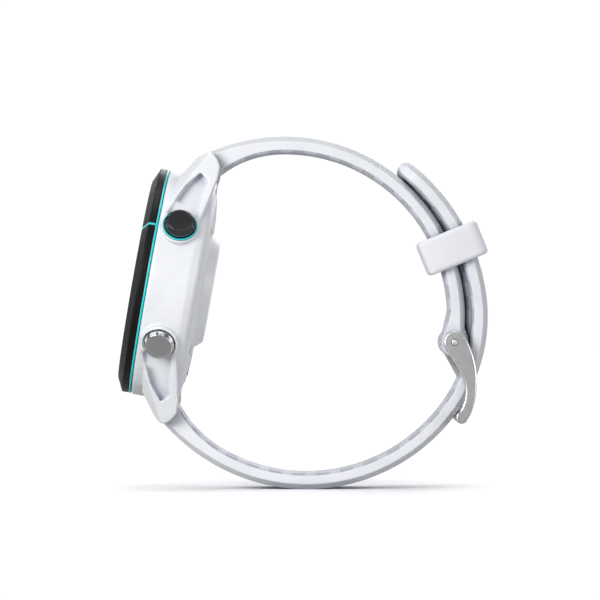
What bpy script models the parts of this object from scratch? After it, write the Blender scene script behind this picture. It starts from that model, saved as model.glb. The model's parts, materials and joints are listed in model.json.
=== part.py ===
"""GPS running watch, buckled into a closed loop, as separate solids.

Frame: metres, +Z up. The origin is the centre of the rear sensor window, where the watch
rests on the wrist. The watch head leans back by HEAD_TILT: its dial looks towards -X and a
little up, 12 o'clock points up, 3 o'clock is on the -Y side. The strap closes towards +X.

Head sizes are given in the head's own frame: x towards 12 o'clock, z out of the dial, with
z = 0 on the sensor window. Strap sizes are in the XZ plane of the whole watch.
"""

import math

import bmesh
import bpy
from mathutils import Matrix, Vector

MM = 0.001

# Pose and fits
HEAD_TILT = 10.0          # degrees that 12 o'clock leans back
SEAM = 0.06 * MM          # gap between fixed pieces that touch
SLIP = 0.15 * MM          # gap round a piece that moves

# Watch head, radii and heights in the head's frame
CASE_R = 21.0 * MM
CASE_TOP = 11.4 * MM
CASE_BOTTOM = 3.75 * MM
CAVITY_R = 18.4 * MM
BEZEL_R = 20.85 * MM
BEZEL_TOP = 14.2 * MM
BEZEL_BOTTOM = 11.86 * MM
LENS_R = 17.7 * MM
LENS_TOP = 14.0 * MM
LENS_BOTTOM = 13.0 * MM
RIM_R = 18.4 * MM         # inner edge of the bezel's slope
MARKER_HALF = 0.2 * MM
ACCENT_HEIGHT = 0.34 * MM
BACK_R = 18.9 * MM
BACK_FACE = 1.6 * MM      # height of the rear face round the sensor
SENSOR_R = 9.3 * MM
SENSOR_FOOT_R = 10.6 * MM
WINDOW_R = 6.2 * MM
COVER_WALL = 1.1 * MM
SCREW_CIRCLE = 15.6 * MM
SCREW_COUNT = 4
PORT_X = -13.8 * MM       # charging port, towards 6 o'clock
CONTACT_COUNT = 4
CONTACT_PITCH = 1.25 * MM

# Lugs, as one side profile (x, z) that is mirrored to 6 o'clock
LUG_TIP_X = 25.25 * MM
LUG_TIP_Y = 11.3 * MM
LUG_TANGENT = 64.8        # degrees from 12 o'clock where the lug meets the round case
STRAP_SLOT = 9.25 * MM    # half the width between the lugs
BAR_X = 22.9 * MM
BAR_Z = 4.7 * MM
POCKET_DEPTH = 2.0 * MM
POCKET_CUT_HALF = 4.0 * MM
SLOPE_NORMAL = Vector((0.561, 0.339, 0.756))   # of the face from the lug's wall up to the strap
SLOPE_POINT = Vector((16.2, 15.65, 9.3)) * MM
SLOPE_BLOCK = 14.0 * MM

# Buttons: clock angle above 3 or 9 o'clock, side (-1 = 3 o'clock side), cap height
BUTTON_Z = 7.45 * MM
BUTTON_SEAT_R = 21.8 * MM
BUTTON_TRAVEL = 0.5 * MM
SEAT_R = 3.5 * MM
WELL_FLOOR = 20.3 * MM
SWITCH_TOP = 17.0 * MM
BUTTONS = {
    "start": (30.0, -1, 23.65 * MM),
    "back": (-30.0, -1, 22.75 * MM),
    "light": (30.0, 1, 22.75 * MM),
    "up": (0.0, 1, 22.75 * MM),
    "down": (-30.0, 1, 22.75 * MM),
}
CAP_BASE_R = 2.8 * MM
CAP_FACE_R = 2.44 * MM
STEM_R = 0.85 * MM

# Strap: centres and radii of the arcs that its two halves follow
STRAP_HALF = 9.0 * MM
STRAP_THICK = 2.9 * MM
STRAP_CHAMFER = 0.55 * MM
UPPER_CENTRE = (13.58 * MM, -4.42 * MM)
UPPER_OUTER = 32.95 * MM
LOWER_CENTRE = (17.53 * MM, -2.02 * MM)
LOWER_OUTER = 34.05 * MM
CATCH_OUTER = 30.1 * MM   # tighter bend where the strap leaves the buckle
TAIL_OUTER = 36.6 * MM
CATCH_FROM = -38.0        # degrees where the lower strap's arcs change
TAIL_FROM = 8.0
TAIL_END = 52.0
ARC_STEP = 5.0
STRAP_END_X = 21.35 * MM  # where each half ends, against the case
STRAP_END_Z = (2.4 * MM, 7.9 * MM)

# Buckle, keeper and spring bars
PIN = (44.6 * MM, -9.15 * MM)
PIN_R = 0.6 * MM
BOSS_R = 2.7 * MM
ARM_INNER = 9.3 * MM
ARM_OUTER = 11.2 * MM
CROSSBAR_TOP = -21.5 * MM
TONGUE_HALF = 0.85 * MM
HOLE_HALF_WIDTH = 1.15 * MM
HOLE_ANGLE = -27.0        # degrees round LOWER_CENTRE of the hole in use
HOLE_PITCH = 9.0          # degrees between holes
KEEPER_ANGLE = 22.2
KEEPER_HALF = 3.25 * MM
KEEPER_RADII = (27.4 * MM, 39.0 * MM)
KEEPER_WINDOW = (29.62 * MM, 37.2 * MM)
KEEPER_HALF_WIDTH = 10.8 * MM
KEEPER_CHAMFER = 0.6 * MM
BAR_R = 0.75 * MM
BAR_TIP_R = 0.45 * MM
RELEASE_TRAVEL = 1.2 * MM
KNOB_Y = 6.4 * MM
KNOB_R = 0.6 * MM

WHITE = (0.86, 0.87, 0.9)
OFF_WHITE = (0.82, 0.83, 0.86)
TURQUOISE = (0.1, 0.72, 0.75)
BLACK = (0.03, 0.03, 0.032)
GLASS = (0.02, 0.02, 0.025)
STEEL = (0.62, 0.62, 0.62)
GREEN = (0.02, 0.15, 0.08)
GOLD = (0.83, 0.62, 0.25)
COPPER = (0.75, 0.45, 0.3)
FOIL = (0.55, 0.56, 0.58)


def clear_scene():
    """Removes what the scene holds, and leaves the file open."""
    for old in list(bpy.data.objects):
        bpy.data.objects.remove(old, do_unlink=True)


def new_collection(name):
    """A collection of the scene's, by name."""
    collection = bpy.data.collections.new(name)
    bpy.context.scene.collection.children.link(collection)
    return collection


def mm(points):
    """Points given in millimetres, in metres."""
    return [tuple(value * MM for value in point) for point in points]


clear_scene()
PARTS = new_collection("gps_running_watch")
CUTTERS = new_collection("cutters")


def new_empty(name, location, rotation):
    """A frame for other pieces to stand in."""
    empty = bpy.data.objects.new(name, None)
    empty.location = location
    empty.rotation_euler = rotation
    PARTS.objects.link(empty)
    return empty


# The head's frame, whose x is 12 o'clock and whose z looks out of the dial
HEAD = new_empty("head_frame", (0, 0, 0), (0, math.radians(HEAD_TILT - 90.0), 0))


def finish(name, colour, roughness, metallic=0.0):
    """A Principled material."""
    material = bpy.data.materials.new(name)
    material.use_nodes = True
    shader = material.node_tree.nodes["Principled BSDF"]
    shader.inputs["Base Color"].default_value = (*colour, 1.0)
    shader.inputs["Roughness"].default_value = roughness
    shader.inputs["Metallic"].default_value = metallic
    return material


def place(name, mesh, parent=None, location=(0, 0, 0), rotation=(0, 0, 0), cutter=False):
    """Links a mesh as a part or as a cutter."""
    item = bpy.data.objects.new(name, mesh)
    item.parent = parent
    item.location = location
    item.rotation_euler = rotation
    if cutter:
        CUTTERS.objects.link(item)
        item.hide_render = True
        item.display_type = "WIRE"
    else:
        PARTS.objects.link(item)
    return item


def dress(item, colour, roughness, metallic=0.0):
    """Gives a piece its own material."""
    item.data.materials.clear()
    item.data.materials.append(finish(item.name, colour, roughness, metallic))
    return item


def smooth(mesh):
    """Shades round faces smooth and keeps the edges."""
    mesh.shade_smooth()
    mesh.set_sharp_from_angle(angle=math.radians(35.0))


def turned(name, profile, parent=None, steps=48, closed=True, cutter=False, **where):
    """Turns a profile of (radius, height) points, outer side first and downwards, round Z."""
    mesh = bpy.data.meshes.new(name)
    edges = [(i, i + 1) for i in range(len(profile) - 1)]
    if closed:
        edges.append((len(profile) - 1, 0))
    mesh.from_pydata([(r, 0.0, z) for r, z in profile], edges, [])
    item = place(name, mesh, parent, cutter=cutter, **where)
    screw = item.modifiers.new("turn", "SCREW")
    screw.axis = "Z"
    screw.steps = steps
    screw.render_steps = steps
    screw.use_merge_vertices = True
    screw.merge_threshold = 0.00001
    screw.use_smooth_shade = True
    return item


def rod(name, radius, low, high, parent=None, steps=24, cutter=False, **where):
    """A plain round solid along Z from low to high."""
    profile = [(0.0, high), (radius, high), (radius, low), (0.0, low)]
    return turned(name, profile, parent, steps, False, cutter, **where)


def ring(name, inner, outer, low, high, parent=None, steps=48, cutter=False, **where):
    """A flat ring round Z."""
    profile = [(outer, high), (outer, low), (inner, low), (inner, high)]
    return turned(name, profile, parent, steps, True, cutter, **where)


def box(name, low, high, parent=None, cutter=False, **where):
    """A block between two corners."""
    mesh = bpy.data.meshes.new(name)
    solid = bmesh.new()
    size = Vector(high) - Vector(low)
    middle = (Vector(high) + Vector(low)) / 2
    shape = Matrix.Translation(middle) @ Matrix.Diagonal((*size, 1))
    bmesh.ops.create_cube(solid, size=1.0, matrix=shape)
    solid.to_mesh(mesh)
    solid.free()
    return place(name, mesh, parent, cutter=cutter, **where)


def outline_curve(name, outline, half_depth):
    """A filled flat outline, extruded by half_depth to both sides."""
    curve = bpy.data.curves.new(name, "CURVE")
    curve.dimensions = "2D"
    curve.fill_mode = "BOTH"
    curve.extrude = half_depth
    spline = curve.splines.new("POLY")
    spline.points.add(len(outline) - 1)
    for point, (across, along) in zip(spline.points, outline):
        point.co = (across, along, 0.0, 1.0)
    spline.use_cyclic_u = True
    return curve


def side_plate(name, outline, half_width, parent=None, chamfer=0.0, cutter=False):
    """Extrudes an outline in the XZ plane by half_width to each side of Y = 0."""
    curve = outline_curve(name, outline, half_width - chamfer)
    curve.bevel_depth = chamfer
    curve.bevel_resolution = 0
    curve.offset = -chamfer
    return curve_to_mesh(name, curve, parent, (0, 0, 0), (math.pi / 2, 0, 0), cutter)


def plan_plate(name, outline, low, high, parent, cutter=False):
    """Extrudes an outline in the XY plane from low to high along Z."""
    curve = outline_curve(name, outline, (high - low) / 2)
    return curve_to_mesh(name, curve, parent, (0, 0, (high + low) / 2), (0, 0, 0), cutter)


def curve_to_mesh(name, curve, parent, location, rotation, cutter):
    """Makes a filled curve a closed mesh, which a Boolean can use."""
    guide = bpy.data.objects.new(name + "_curve", curve)
    bpy.context.scene.collection.objects.link(guide)
    bpy.context.view_layer.update()
    evaluated = guide.evaluated_get(bpy.context.evaluated_depsgraph_get())
    mesh = bpy.data.meshes.new_from_object(evaluated)
    bpy.data.objects.remove(guide)
    solid = bmesh.new()
    solid.from_mesh(mesh)
    bmesh.ops.remove_doubles(solid, verts=solid.verts, dist=0.000005)
    bmesh.ops.recalc_face_normals(solid, faces=solid.faces)
    solid.to_mesh(mesh)
    solid.free()
    mesh.name = name
    return place(name, mesh, parent, location, rotation, cutter)


def cut(item, *cutters, operation="DIFFERENCE"):
    """Cuts item by all the cutters in one step, so that they may overlap each other."""
    group = bpy.data.collections.new(f"{item.name}_{operation.lower()}")
    CUTTERS.children.link(group)
    for cutter in cutters:
        CUTTERS.objects.unlink(cutter)
        group.objects.link(cutter)
    step = item.modifiers.new(group.name, "BOOLEAN")
    step.operation = operation
    step.operand_type = "COLLECTION"
    step.collection = group
    return item


def arc(centre, radius, start, end, step=ARC_STEP):
    """Points on an arc in the XZ plane, from start to end in degrees."""
    count = max(1, round(abs(end - start) / step))
    angles = [math.radians(start + (end - start) * i / count) for i in range(count + 1)]
    return [(centre[0] + radius * math.cos(t), centre[1] + radius * math.sin(t)) for t in angles]


def polar(centre, radius, degrees):
    """A point of the XZ plane at an angle round a centre."""
    return arc(centre, radius, degrees, degrees)[0]


def flat(point):
    """A point of the XZ plane as a location."""
    return (point[0], 0.0, point[1])


def head_to_side(x, z):
    """A point of the head's frame in the watch's XZ plane."""
    tilt = math.radians(HEAD_TILT)
    across = x * math.sin(tilt) - z * math.cos(tilt)
    upward = x * math.cos(tilt) + z * math.sin(tilt)
    return (across, upward)


def head_disc(name, radius, low, high, colour, roughness, metallic=0.0, centre=(0, 0), steps=32):
    """A fixed round piece inside the head."""
    item = rod(name, radius, low, high, HEAD, steps, location=(*centre, 0))
    return dress(item, colour, roughness, metallic)


# ---------------------------------------------------------------- watch head


def lug_profile():
    """Side profile of the case with its four lugs, x along 12-6 o'clock."""
    upper = [
        (0.0, 9.3), (20.9, 9.3), (22.9, 7.2), (24.0, 6.5), (25.2, 4.9), (25.1, 4.1),
        (24.3, 3.1), (22.9, 2.25), (20.6, 2.3), (12.0, 4.1), (0.0, 4.1),
    ]
    lower = [(-x, z) for x, z in reversed(upper) if x > 0]
    return mm(upper + lower)


def corner_name(end, side):
    """Name of one of the four lugs; end is +1 at 12 o'clock, side is -1 at 3 o'clock."""
    return f"{'upper' if end > 0 else 'lower'}_{'near' if side < 0 else 'far'}"


def lug_plan():
    """Plan outline of the case with its lugs, as tangents to the round case."""
    tangent = polar((0, 0), CASE_R, LUG_TANGENT)
    tip = (LUG_TIP_X + SLIP, LUG_TIP_Y)
    half = [tip, tangent, (-tangent[0], tangent[1]), (-tip[0], tip[1])]
    return half + [(x, -y) for x, y in reversed(half)]


def pocket_cutter(end, side):
    """The weight-saving recess in one lug's outer wall."""
    outline = [(21.2, 5.5), (19.8, 3.95), (12.6, 4.95), (12.6, 10.2), (14.6, 9.45), (18.2, 7.9)]
    outline = mm([(end * x, z) for x, z in outline])
    cutter = side_plate("pocket_" + corner_name(end, side), outline, POCKET_CUT_HALF, HEAD, cutter=True)
    tangent_x, tangent_y = polar((0, 0), CASE_R, LUG_TANGENT)
    lean = (tangent_y - LUG_TIP_Y) / (LUG_TIP_X - tangent_x)
    reach = (POCKET_CUT_HALF - POCKET_DEPTH) * math.sqrt(1 + lean ** 2)
    # the recess runs both ways from a plane parallel to the lug's outer wall
    shear = Matrix.Identity(4)
    shear[1][0] = -side * end * lean
    shear[1][3] = side * (LUG_TIP_Y + lean * LUG_TIP_X + reach)
    cutter.data.transform(shear @ Matrix.Rotation(math.pi / 2, 4, "X"))
    cutter.rotation_euler = (0, 0, 0)
    return cutter


def lug_slope(end, side):
    """Cutter for the slope from a lug's outer wall up to the strap, over its front edge."""
    block = box(
        "slope_" + corner_name(end, side), (-SLOPE_BLOCK, -SLOPE_BLOCK, 0),
        (SLOPE_BLOCK, SLOPE_BLOCK, SLOPE_BLOCK / 2), HEAD, True,
    )
    mirror = Vector((end, side, 1))
    block.location = SLOPE_POINT * mirror
    block.rotation_mode = "QUATERNION"
    block.rotation_quaternion = (SLOPE_NORMAL * mirror).to_track_quat("Z", "Y")
    return block


def button_heading(name):
    """Turn about the head's Z that looks out along a button's axis."""
    angle, side, _ = BUTTONS[name]
    return math.atan2(side * math.cos(math.radians(angle)), math.sin(math.radians(angle)))


def button_place(name):
    """Rotation and location that lay a solid's Z along a button's axis, outwards."""
    return {"location": (0, 0, BUTTON_Z), "rotation": (0, math.pi / 2, button_heading(name))}


def bar_place(end):
    """Rotation and location that lay a solid's Z along a spring bar, towards 3 o'clock."""
    return {"location": (end * BAR_X, 0, BAR_Z), "rotation": (math.pi / 2, 0, 0)}


def strap_slot(end):
    """Cutter for the space between two lugs."""
    low, high = sorted((end * 15 * MM, end * 30 * MM))
    return box(f"strap_slot_{end}", (low, -STRAP_SLOT, 0), (high, STRAP_SLOT, 13 * MM), HEAD, True)


def case_wall():
    """Round outer wall of the case, with its small front chamfer."""
    chamfer = 0.3 * MM
    profile = [
        (0.0, CASE_TOP), (CASE_R - chamfer, CASE_TOP), (CASE_R, CASE_TOP - chamfer),
        (CASE_R, CASE_BOTTOM + chamfer), (CASE_R - chamfer, CASE_BOTTOM), (0.0, CASE_BOTTOM),
    ]
    return turned("case_wall", profile, HEAD, 60, False, True)


def case_cavity():
    """Cutter for the space inside the case, wider where the rear cover sits."""
    cover_r = BACK_R + SEAM
    profile = [
        (0.0, 13 * MM), (CAVITY_R, 13 * MM), (CAVITY_R, CASE_BOTTOM), (cover_r, CASE_BOTTOM),
        (cover_r, 0.0), (0.0, 0.0),
    ]
    return turned("case_cavity", profile, HEAD, 60, False, True)


def button_well(name):
    """Cutter for a button's well and the bore of its stem."""
    well_r = CAP_BASE_R + SLIP
    bore_r = STEM_R + 0.4 * MM
    top, bottom = 25 * MM, 15 * MM
    profile = [
        (0.0, top), (well_r, top), (well_r, WELL_FLOOR),
        (bore_r, WELL_FLOOR), (bore_r, bottom), (0.0, bottom),
    ]
    return turned(f"{name}_well", profile, HEAD, 24, False, True, **button_place(name))


def middle_case():
    """Round case with four lugs, button seats and weight-saving pockets."""
    case = plan_plate("middle_case", lug_plan(), 0.0, 12 * MM, HEAD)
    cut(case, side_plate("lug_side", lug_profile(), 24 * MM, HEAD, cutter=True), operation="INTERSECT")
    corners = [(end, side) for end in (1, -1) for side in (1, -1)]
    cut(case, strap_slot(1), strap_slot(-1), *[lug_slope(*corner) for corner in corners])
    additions = [case_wall()]
    for name in BUTTONS:
        seat = rod(f"{name}_seat", SEAT_R, 15 * MM, BUTTON_SEAT_R, HEAD, 24, True, **button_place(name))
        additions.append(seat)
    cut(case, *additions, operation="UNION")
    cuts = [case_cavity()]
    cuts += [button_well(name) for name in BUTTONS]
    cuts += [pocket_cutter(*corner) for corner in corners]
    for end in (1, -1):
        reach = 10.6 * MM
        cuts.append(rod(f"bar_hole_{end}", BAR_TIP_R + SEAM, -reach, reach, HEAD, 12, True, **bar_place(end)))
    cut(case, *cuts)
    return dress(case, WHITE, 0.42)


def back_cover():
    """Rear cover with its sensor plinth, which stands out towards the wrist."""
    lip_r = CAVITY_R - SEAM
    lip_top = CASE_BOTTOM + 0.7 * MM
    inner_r = 17.3 * MM
    profile = [(lip_r, lip_top), (lip_r, CASE_BOTTOM - SEAM), (BACK_R, CASE_BOTTOM - SEAM)]
    profile += mm([(18.4, 2.5), (17.0, 1.9)])
    profile += [
        (14.0 * MM, BACK_FACE), (SENSOR_FOOT_R, BACK_FACE), (SENSOR_R, 0.0), (WINDOW_R + SEAM, 0.0),
        (WINDOW_R + SEAM, COVER_WALL), (SENSOR_R - 0.6 * MM, COVER_WALL),
        (SENSOR_FOOT_R, BACK_FACE + COVER_WALL), (inner_r, BACK_FACE + COVER_WALL), (inner_r, lip_top),
    ]
    cover = turned("back_cover", profile, HEAD, 60)
    low, high = -1 * MM, 6 * MM
    near, far = PORT_X - 2.1 * MM, PORT_X + 2.1 * MM
    holes = [box("port_hole", (near, -3.1 * MM, low), (far, 3.1 * MM, high), HEAD, True)]
    for index in range(SCREW_COUNT):
        holes.append(rod(f"screw_hole_{index}", 0.95 * MM, low, high, HEAD, 12, True, **screw_place(index)))
    cut(cover, *holes)
    return dress(cover, OFF_WHITE, 0.4)


def screw_place(index):
    """Location of one of the rear cover's screws, between the lugs."""
    angle = 45 + 360 / SCREW_COUNT * index
    return {"location": (*polar((0, 0), SCREW_CIRCLE, angle), 0)}


def case_screws():
    """Four screws that hold the rear cover to the case, each with a socket in its head."""
    profile = mm([
        (0.0, 3.6), (0.5, 3.6), (0.5, 2.35), (0.88, 2.35),
        (0.88, 1.75), (0.4, 1.75), (0.4, 2.05), (0.0, 2.05),
    ])
    for index in range(SCREW_COUNT):
        screw = turned(f"case_screw_{index + 1}", profile, HEAD, 12, False, **screw_place(index))
        dress(screw, STEEL, 0.3, 1.0)


def charging_port():
    """Socket insert in the rear cover, with four spring contacts."""
    low = (PORT_X - 2.0 * MM, -3.0 * MM, 1.7 * MM)
    high = (PORT_X + 2.0 * MM, 3.0 * MM, 3.9 * MM)
    socket = box("charging_socket", low, high, HEAD)
    holes = []
    for index in range(CONTACT_COUNT):
        spot = {"location": (PORT_X, (index - (CONTACT_COUNT - 1) / 2) * CONTACT_PITCH, 0)}
        holes.append(rod(f"contact_hole_{index}", 0.42 * MM, 1 * MM, 4.2 * MM, HEAD, 12, True, **spot))
        pin = rod(f"charging_contact_{index + 1}", 0.36 * MM, 1.95 * MM, 4.1 * MM, HEAD, 12, **spot)
        dress(pin, GOLD, 0.3, 1.0)
    dress(cut(socket, *holes), BLACK, 0.5)


def lens():
    """Flat cover glass with a chamfered edge."""
    chamfer = 0.3 * MM
    profile = [
        (0.0, LENS_TOP), (LENS_R - chamfer, LENS_TOP), (LENS_R, LENS_TOP - 0.2 * MM),
        (LENS_R, LENS_BOTTOM), (0.0, LENS_BOTTOM),
    ]
    dress(turned("lens", profile, HEAD, 48, False), GLASS, 0.05)


def bezel():
    """Sloped ring round the lens, with the start marker let into it."""
    ledge_r = 16.9 * MM
    ledge_top = LENS_BOTTOM - 0.1 * MM
    seat_r = LENS_R + SEAM
    slope_foot = 13.05 * MM
    profile = [
        (RIM_R, BEZEL_TOP), (BEZEL_R, slope_foot), (BEZEL_R, 12.1 * MM), (BEZEL_R - 0.2 * MM, BEZEL_BOTTOM),
        (ledge_r, BEZEL_BOTTOM), (ledge_r, ledge_top), (seat_r, ledge_top),
        (seat_r, LENS_TOP - 0.05 * MM), (17.95 * MM, BEZEL_TOP),
    ]
    body = turned("bezel", profile, HEAD, 60)
    heading = button_heading("start")
    groove_half = MARKER_HALF + SEAM
    groove = box(
        "marker_groove", (18.1 * MM, -groove_half, 12.5 * MM), (22 * MM, groove_half, 15 * MM), HEAD, True,
        rotation=(0, 0, heading),
    )
    dress(cut(body, groove), BLACK, 0.45)
    inner_r, marker_low = 18.2 * MM, 12.56 * MM
    outline = [
        (inner_r, marker_low), (inner_r, BEZEL_TOP), (RIM_R, BEZEL_TOP),
        (BEZEL_R, slope_foot), (BEZEL_R, marker_low),
    ]
    marker = side_plate("start_marker", outline, MARKER_HALF, HEAD)
    marker.data.transform(Matrix.Rotation(math.pi / 2, 4, "X"))
    marker.rotation_euler = (0, 0, heading)
    dress(marker, TURQUOISE, 0.35)


def display():
    """Accent ring, seal, panel and carrier under the lens."""
    low = CASE_TOP + SEAM
    accent = ring("accent_ring", 19.2 * MM, BEZEL_R + 0.05 * MM, low, low + ACCENT_HEIGHT, HEAD, 60)
    dress(accent, TURQUOISE, 0.35)
    seal = ring("display_seal", 17.4 * MM, 18.1 * MM, 11.0 * MM, 11.8 * MM, HEAD, 36)
    dress(seal, BLACK, 0.8)
    head_disc("display_panel", 16.4 * MM, 11.5 * MM, 12.9 * MM, GLASS, 0.15, steps=40)
    carrier = ring("display_carrier", 12.0 * MM, 17.2 * MM, 10.3 * MM, 10.9 * MM, HEAD, 36)
    dress(carrier, BLACK, 0.6)


def boards():
    """Main board behind the display, and the sensor's board behind its window."""
    low = 8.9 * MM
    outline = arc((0, 0), 15.2 * MM, 0, 345, 15)
    dress(plan_plate("main_board", outline, low, low + 0.8 * MM, HEAD), GREEN, 0.5)
    head_disc("sensor_board", 8.0 * MM, 1.6 * MM, 2.3 * MM, GREEN, 0.5)
    head_disc("sensor_window", WINDOW_R, 0.0, 0.9 * MM, GLASS, 0.08)


def inner_pieces():
    """What the case holds besides its boards: battery, motor, buzzer, antenna and rear seal."""
    cell = box("battery", (-9.5 * MM, -9.0 * MM, 4.6 * MM), (9.5 * MM, 5.0 * MM, 8.3 * MM), HEAD)
    dress(cell, FOIL, 0.35, 0.6)
    motor_at, buzzer_at = mm([(-6.0, 9.6), (5.5, 9.7)])
    head_disc("vibration_motor", 3.6 * MM, 4.8 * MM, 7.6 * MM, STEEL, 0.3, 1.0, motor_at, 24)
    head_disc("buzzer", 3.4 * MM, 5.0 * MM, 7.2 * MM, GOLD, 0.35, 1.0, buzzer_at, 24)
    antenna = ring("antenna_ring", 15.9 * MM, 16.5 * MM, 9.0 * MM, 10.0 * MM, HEAD, 30)
    dress(antenna, COPPER, 0.35, 1.0)
    seal = ring("rear_seal", 16.6 * MM, 17.2 * MM, 3.1 * MM, 4.1 * MM, HEAD, 36)
    dress(seal, BLACK, 0.8)


def buttons():
    """Each button: a cap with its stem, a seal ring in the case's bore, and a dome switch."""
    cap_low = WELL_FLOOR + BUTTON_TRAVEL + SLIP
    stem_low = SWITCH_TOP + BUTTON_TRAVEL + 0.1 * MM
    for name, (_, _, face) in BUTTONS.items():
        spot = button_place(name)
        profile = [
            (0.0, face), (CAP_FACE_R, face), (CAP_BASE_R, face - 0.75 * MM), (CAP_BASE_R, cap_low),
            (STEM_R, cap_low), (STEM_R, stem_low), (0.0, stem_low),
        ]
        colour = BLACK if name == "start" else STEEL
        dress(turned(f"{name}_button", profile, HEAD, 24, False, **spot), colour, 0.3, 1.0)
        seal = ring(f"{name}_seal", STEM_R + SEAM, STEM_R + 0.34 * MM, 18.9 * MM, 19.6 * MM, HEAD, 12, **spot)
        dress(seal, BLACK, 0.8)
        switch = rod(f"{name}_switch", 1.3 * MM, SWITCH_TOP - 1.1 * MM, SWITCH_TOP, HEAD, 12, **spot)
        dress(switch, STEEL, 0.3, 1.0)
    low = BUTTON_SEAT_R + SEAM
    spot = button_place("start")
    accent = ring("start_accent", CAP_BASE_R + SLIP, 3.2 * MM, low, low + ACCENT_HEIGHT, HEAD, 24, **spot)
    dress(accent, TURQUOISE, 0.35)


# --------------------------------------------------------------------- strap


def strap_lug_cutters(name, end):
    """The tunnel for the spring bar and the slot in which its release knob slides."""
    room = 0.6 * MM
    tunnel = rod(f"{name}_tunnel", BAR_R + SLIP, -12 * MM, 12 * MM, HEAD, 16, True, **bar_place(end))
    near, far = sorted((end * (BAR_X - 1 * MM), end * (BAR_X + 1 * MM)))
    low = (near, KNOB_Y - KNOB_R - RELEASE_TRAVEL - room, -3 * MM)
    high = (far, KNOB_Y + KNOB_R + room, BAR_Z)
    return tunnel, box(f"{name}_slot", low, high, HEAD, True)


def upper_strap():
    """12 o'clock half: from its spring bar over the wrist to the buckle's boss."""
    inner = UPPER_OUTER - STRAP_THICK
    outline = [head_to_side(STRAP_END_X, height) for height in STRAP_END_Z]
    outline += arc(UPPER_CENTRE, UPPER_OUTER, 119, 2)
    outline += arc(PIN, BOSS_R, 45, -225, 15)
    outline += arc(UPPER_CENTRE, inner, 2, 104)
    strap = side_plate("upper_strap", outline, STRAP_HALF, chamfer=STRAP_CHAMFER)
    bore = rod(
        "pin_bore", PIN_R + SLIP, -12 * MM, 12 * MM, None, 16, True,
        location=(PIN[0], 0, PIN[1]), rotation=(math.pi / 2, 0, 0),
    )
    gap_half = TONGUE_HALF + 0.35 * MM
    gap = box(
        "tongue_gap", (PIN[0] - 4 * MM, -gap_half, PIN[1] - 4 * MM),
        (PIN[0] + 4 * MM, gap_half, PIN[1] + 2 * MM), None, True,
    )
    cut(strap, bore, gap, *strap_lug_cutters("upper", 1))
    return dress(strap, WHITE, 0.6)


def tail_centres():
    """Centres of the lower strap's second and third arcs, so that each runs on smoothly."""
    catch = polar(LOWER_CENTRE, LOWER_OUTER - CATCH_OUTER, CATCH_FROM)
    tail = polar(catch, CATCH_OUTER - TAIL_OUTER, TAIL_FROM)
    return catch, tail


def lower_strap():
    """6 o'clock half: from its spring bar under the wrist, through the buckle to the tail."""
    catch, tail = tail_centres()
    thick = STRAP_THICK
    end_low, end_high = STRAP_END_Z
    outline = [head_to_side(-STRAP_END_X, end_high)]
    outline += arc(LOWER_CENTRE, LOWER_OUTER, 214, 360 + CATCH_FROM)
    outline += arc(catch, CATCH_OUTER, CATCH_FROM, TAIL_FROM)[1:]
    outline += arc(tail, TAIL_OUTER, TAIL_FROM, TAIL_END)[1:]
    tip = polar(tail, TAIL_OUTER - thick / 2, TAIL_END)
    outline += arc(tip, thick / 2, TAIL_END + 30, TAIL_END + 150, 30)
    outline += arc(tail, TAIL_OUTER - thick, TAIL_END, TAIL_FROM)
    outline += arc(catch, CATCH_OUTER - thick, TAIL_FROM, CATCH_FROM)[1:]
    outline += arc(LOWER_CENTRE, LOWER_OUTER - thick, 360 + CATCH_FROM, 226)[1:]
    outline.append(head_to_side(-STRAP_END_X, end_low))
    strap = side_plate("lower_strap", outline, STRAP_HALF, chamfer=STRAP_CHAMFER)
    cutters = list(strap_lug_cutters("lower", -1))
    for index in range(4):
        angle = HOLE_ANGLE - HOLE_PITCH * index
        cutters.append(strap_hole(f"strap_hole_{index}", LOWER_CENTRE, 32.6 * MM, angle, index == 0))
    for index in range(3):
        cutters.append(strap_hole(f"catch_hole_{index}", catch, 28.6 * MM, -19.0 + 10.0 * index))
    for index in range(4):
        cutters.append(strap_hole(f"tail_hole_{index}", tail, 35.1 * MM, 14.0 + 8.5 * index))
    cut(strap, *cutters)
    return dress(strap, WHITE, 0.6)


def strap_hole(name, centre, radius, angle, in_use=False):
    """Cutter for a slot through the strap; the tongue draws the one in use longer."""
    half = (2.15 if in_use else 1.5) * MM
    width = HOLE_HALF_WIDTH
    return box(
        name, (-3 * MM, -width, -half), (3 * MM, width, half), None, True,
        location=flat(polar(centre, radius, angle)), rotation=(0, -math.radians(angle), 0),
    )


def keeper():
    """Free loop that holds the strap's tail; it slides round UPPER_CENTRE."""
    spin = new_empty("keeper_frame", flat(UPPER_CENTRE), (0, -math.radians(KEEPER_ANGLE), 0))
    inner, outer = KEEPER_RADII
    outline = [(inner, -KEEPER_HALF), (outer, -KEEPER_HALF), (outer, KEEPER_HALF), (inner, KEEPER_HALF)]
    block = side_plate("keeper", outline, KEEPER_HALF_WIDTH, spin, chamfer=KEEPER_CHAMFER)
    reach, half = 6 * MM, STRAP_HALF + 0.2 * MM
    near, far = KEEPER_WINDOW
    window = box("keeper_window", (near, -half, -reach), (far, half, reach), spin, True)
    return dress(cut(block, window), WHITE, 0.6)


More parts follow.
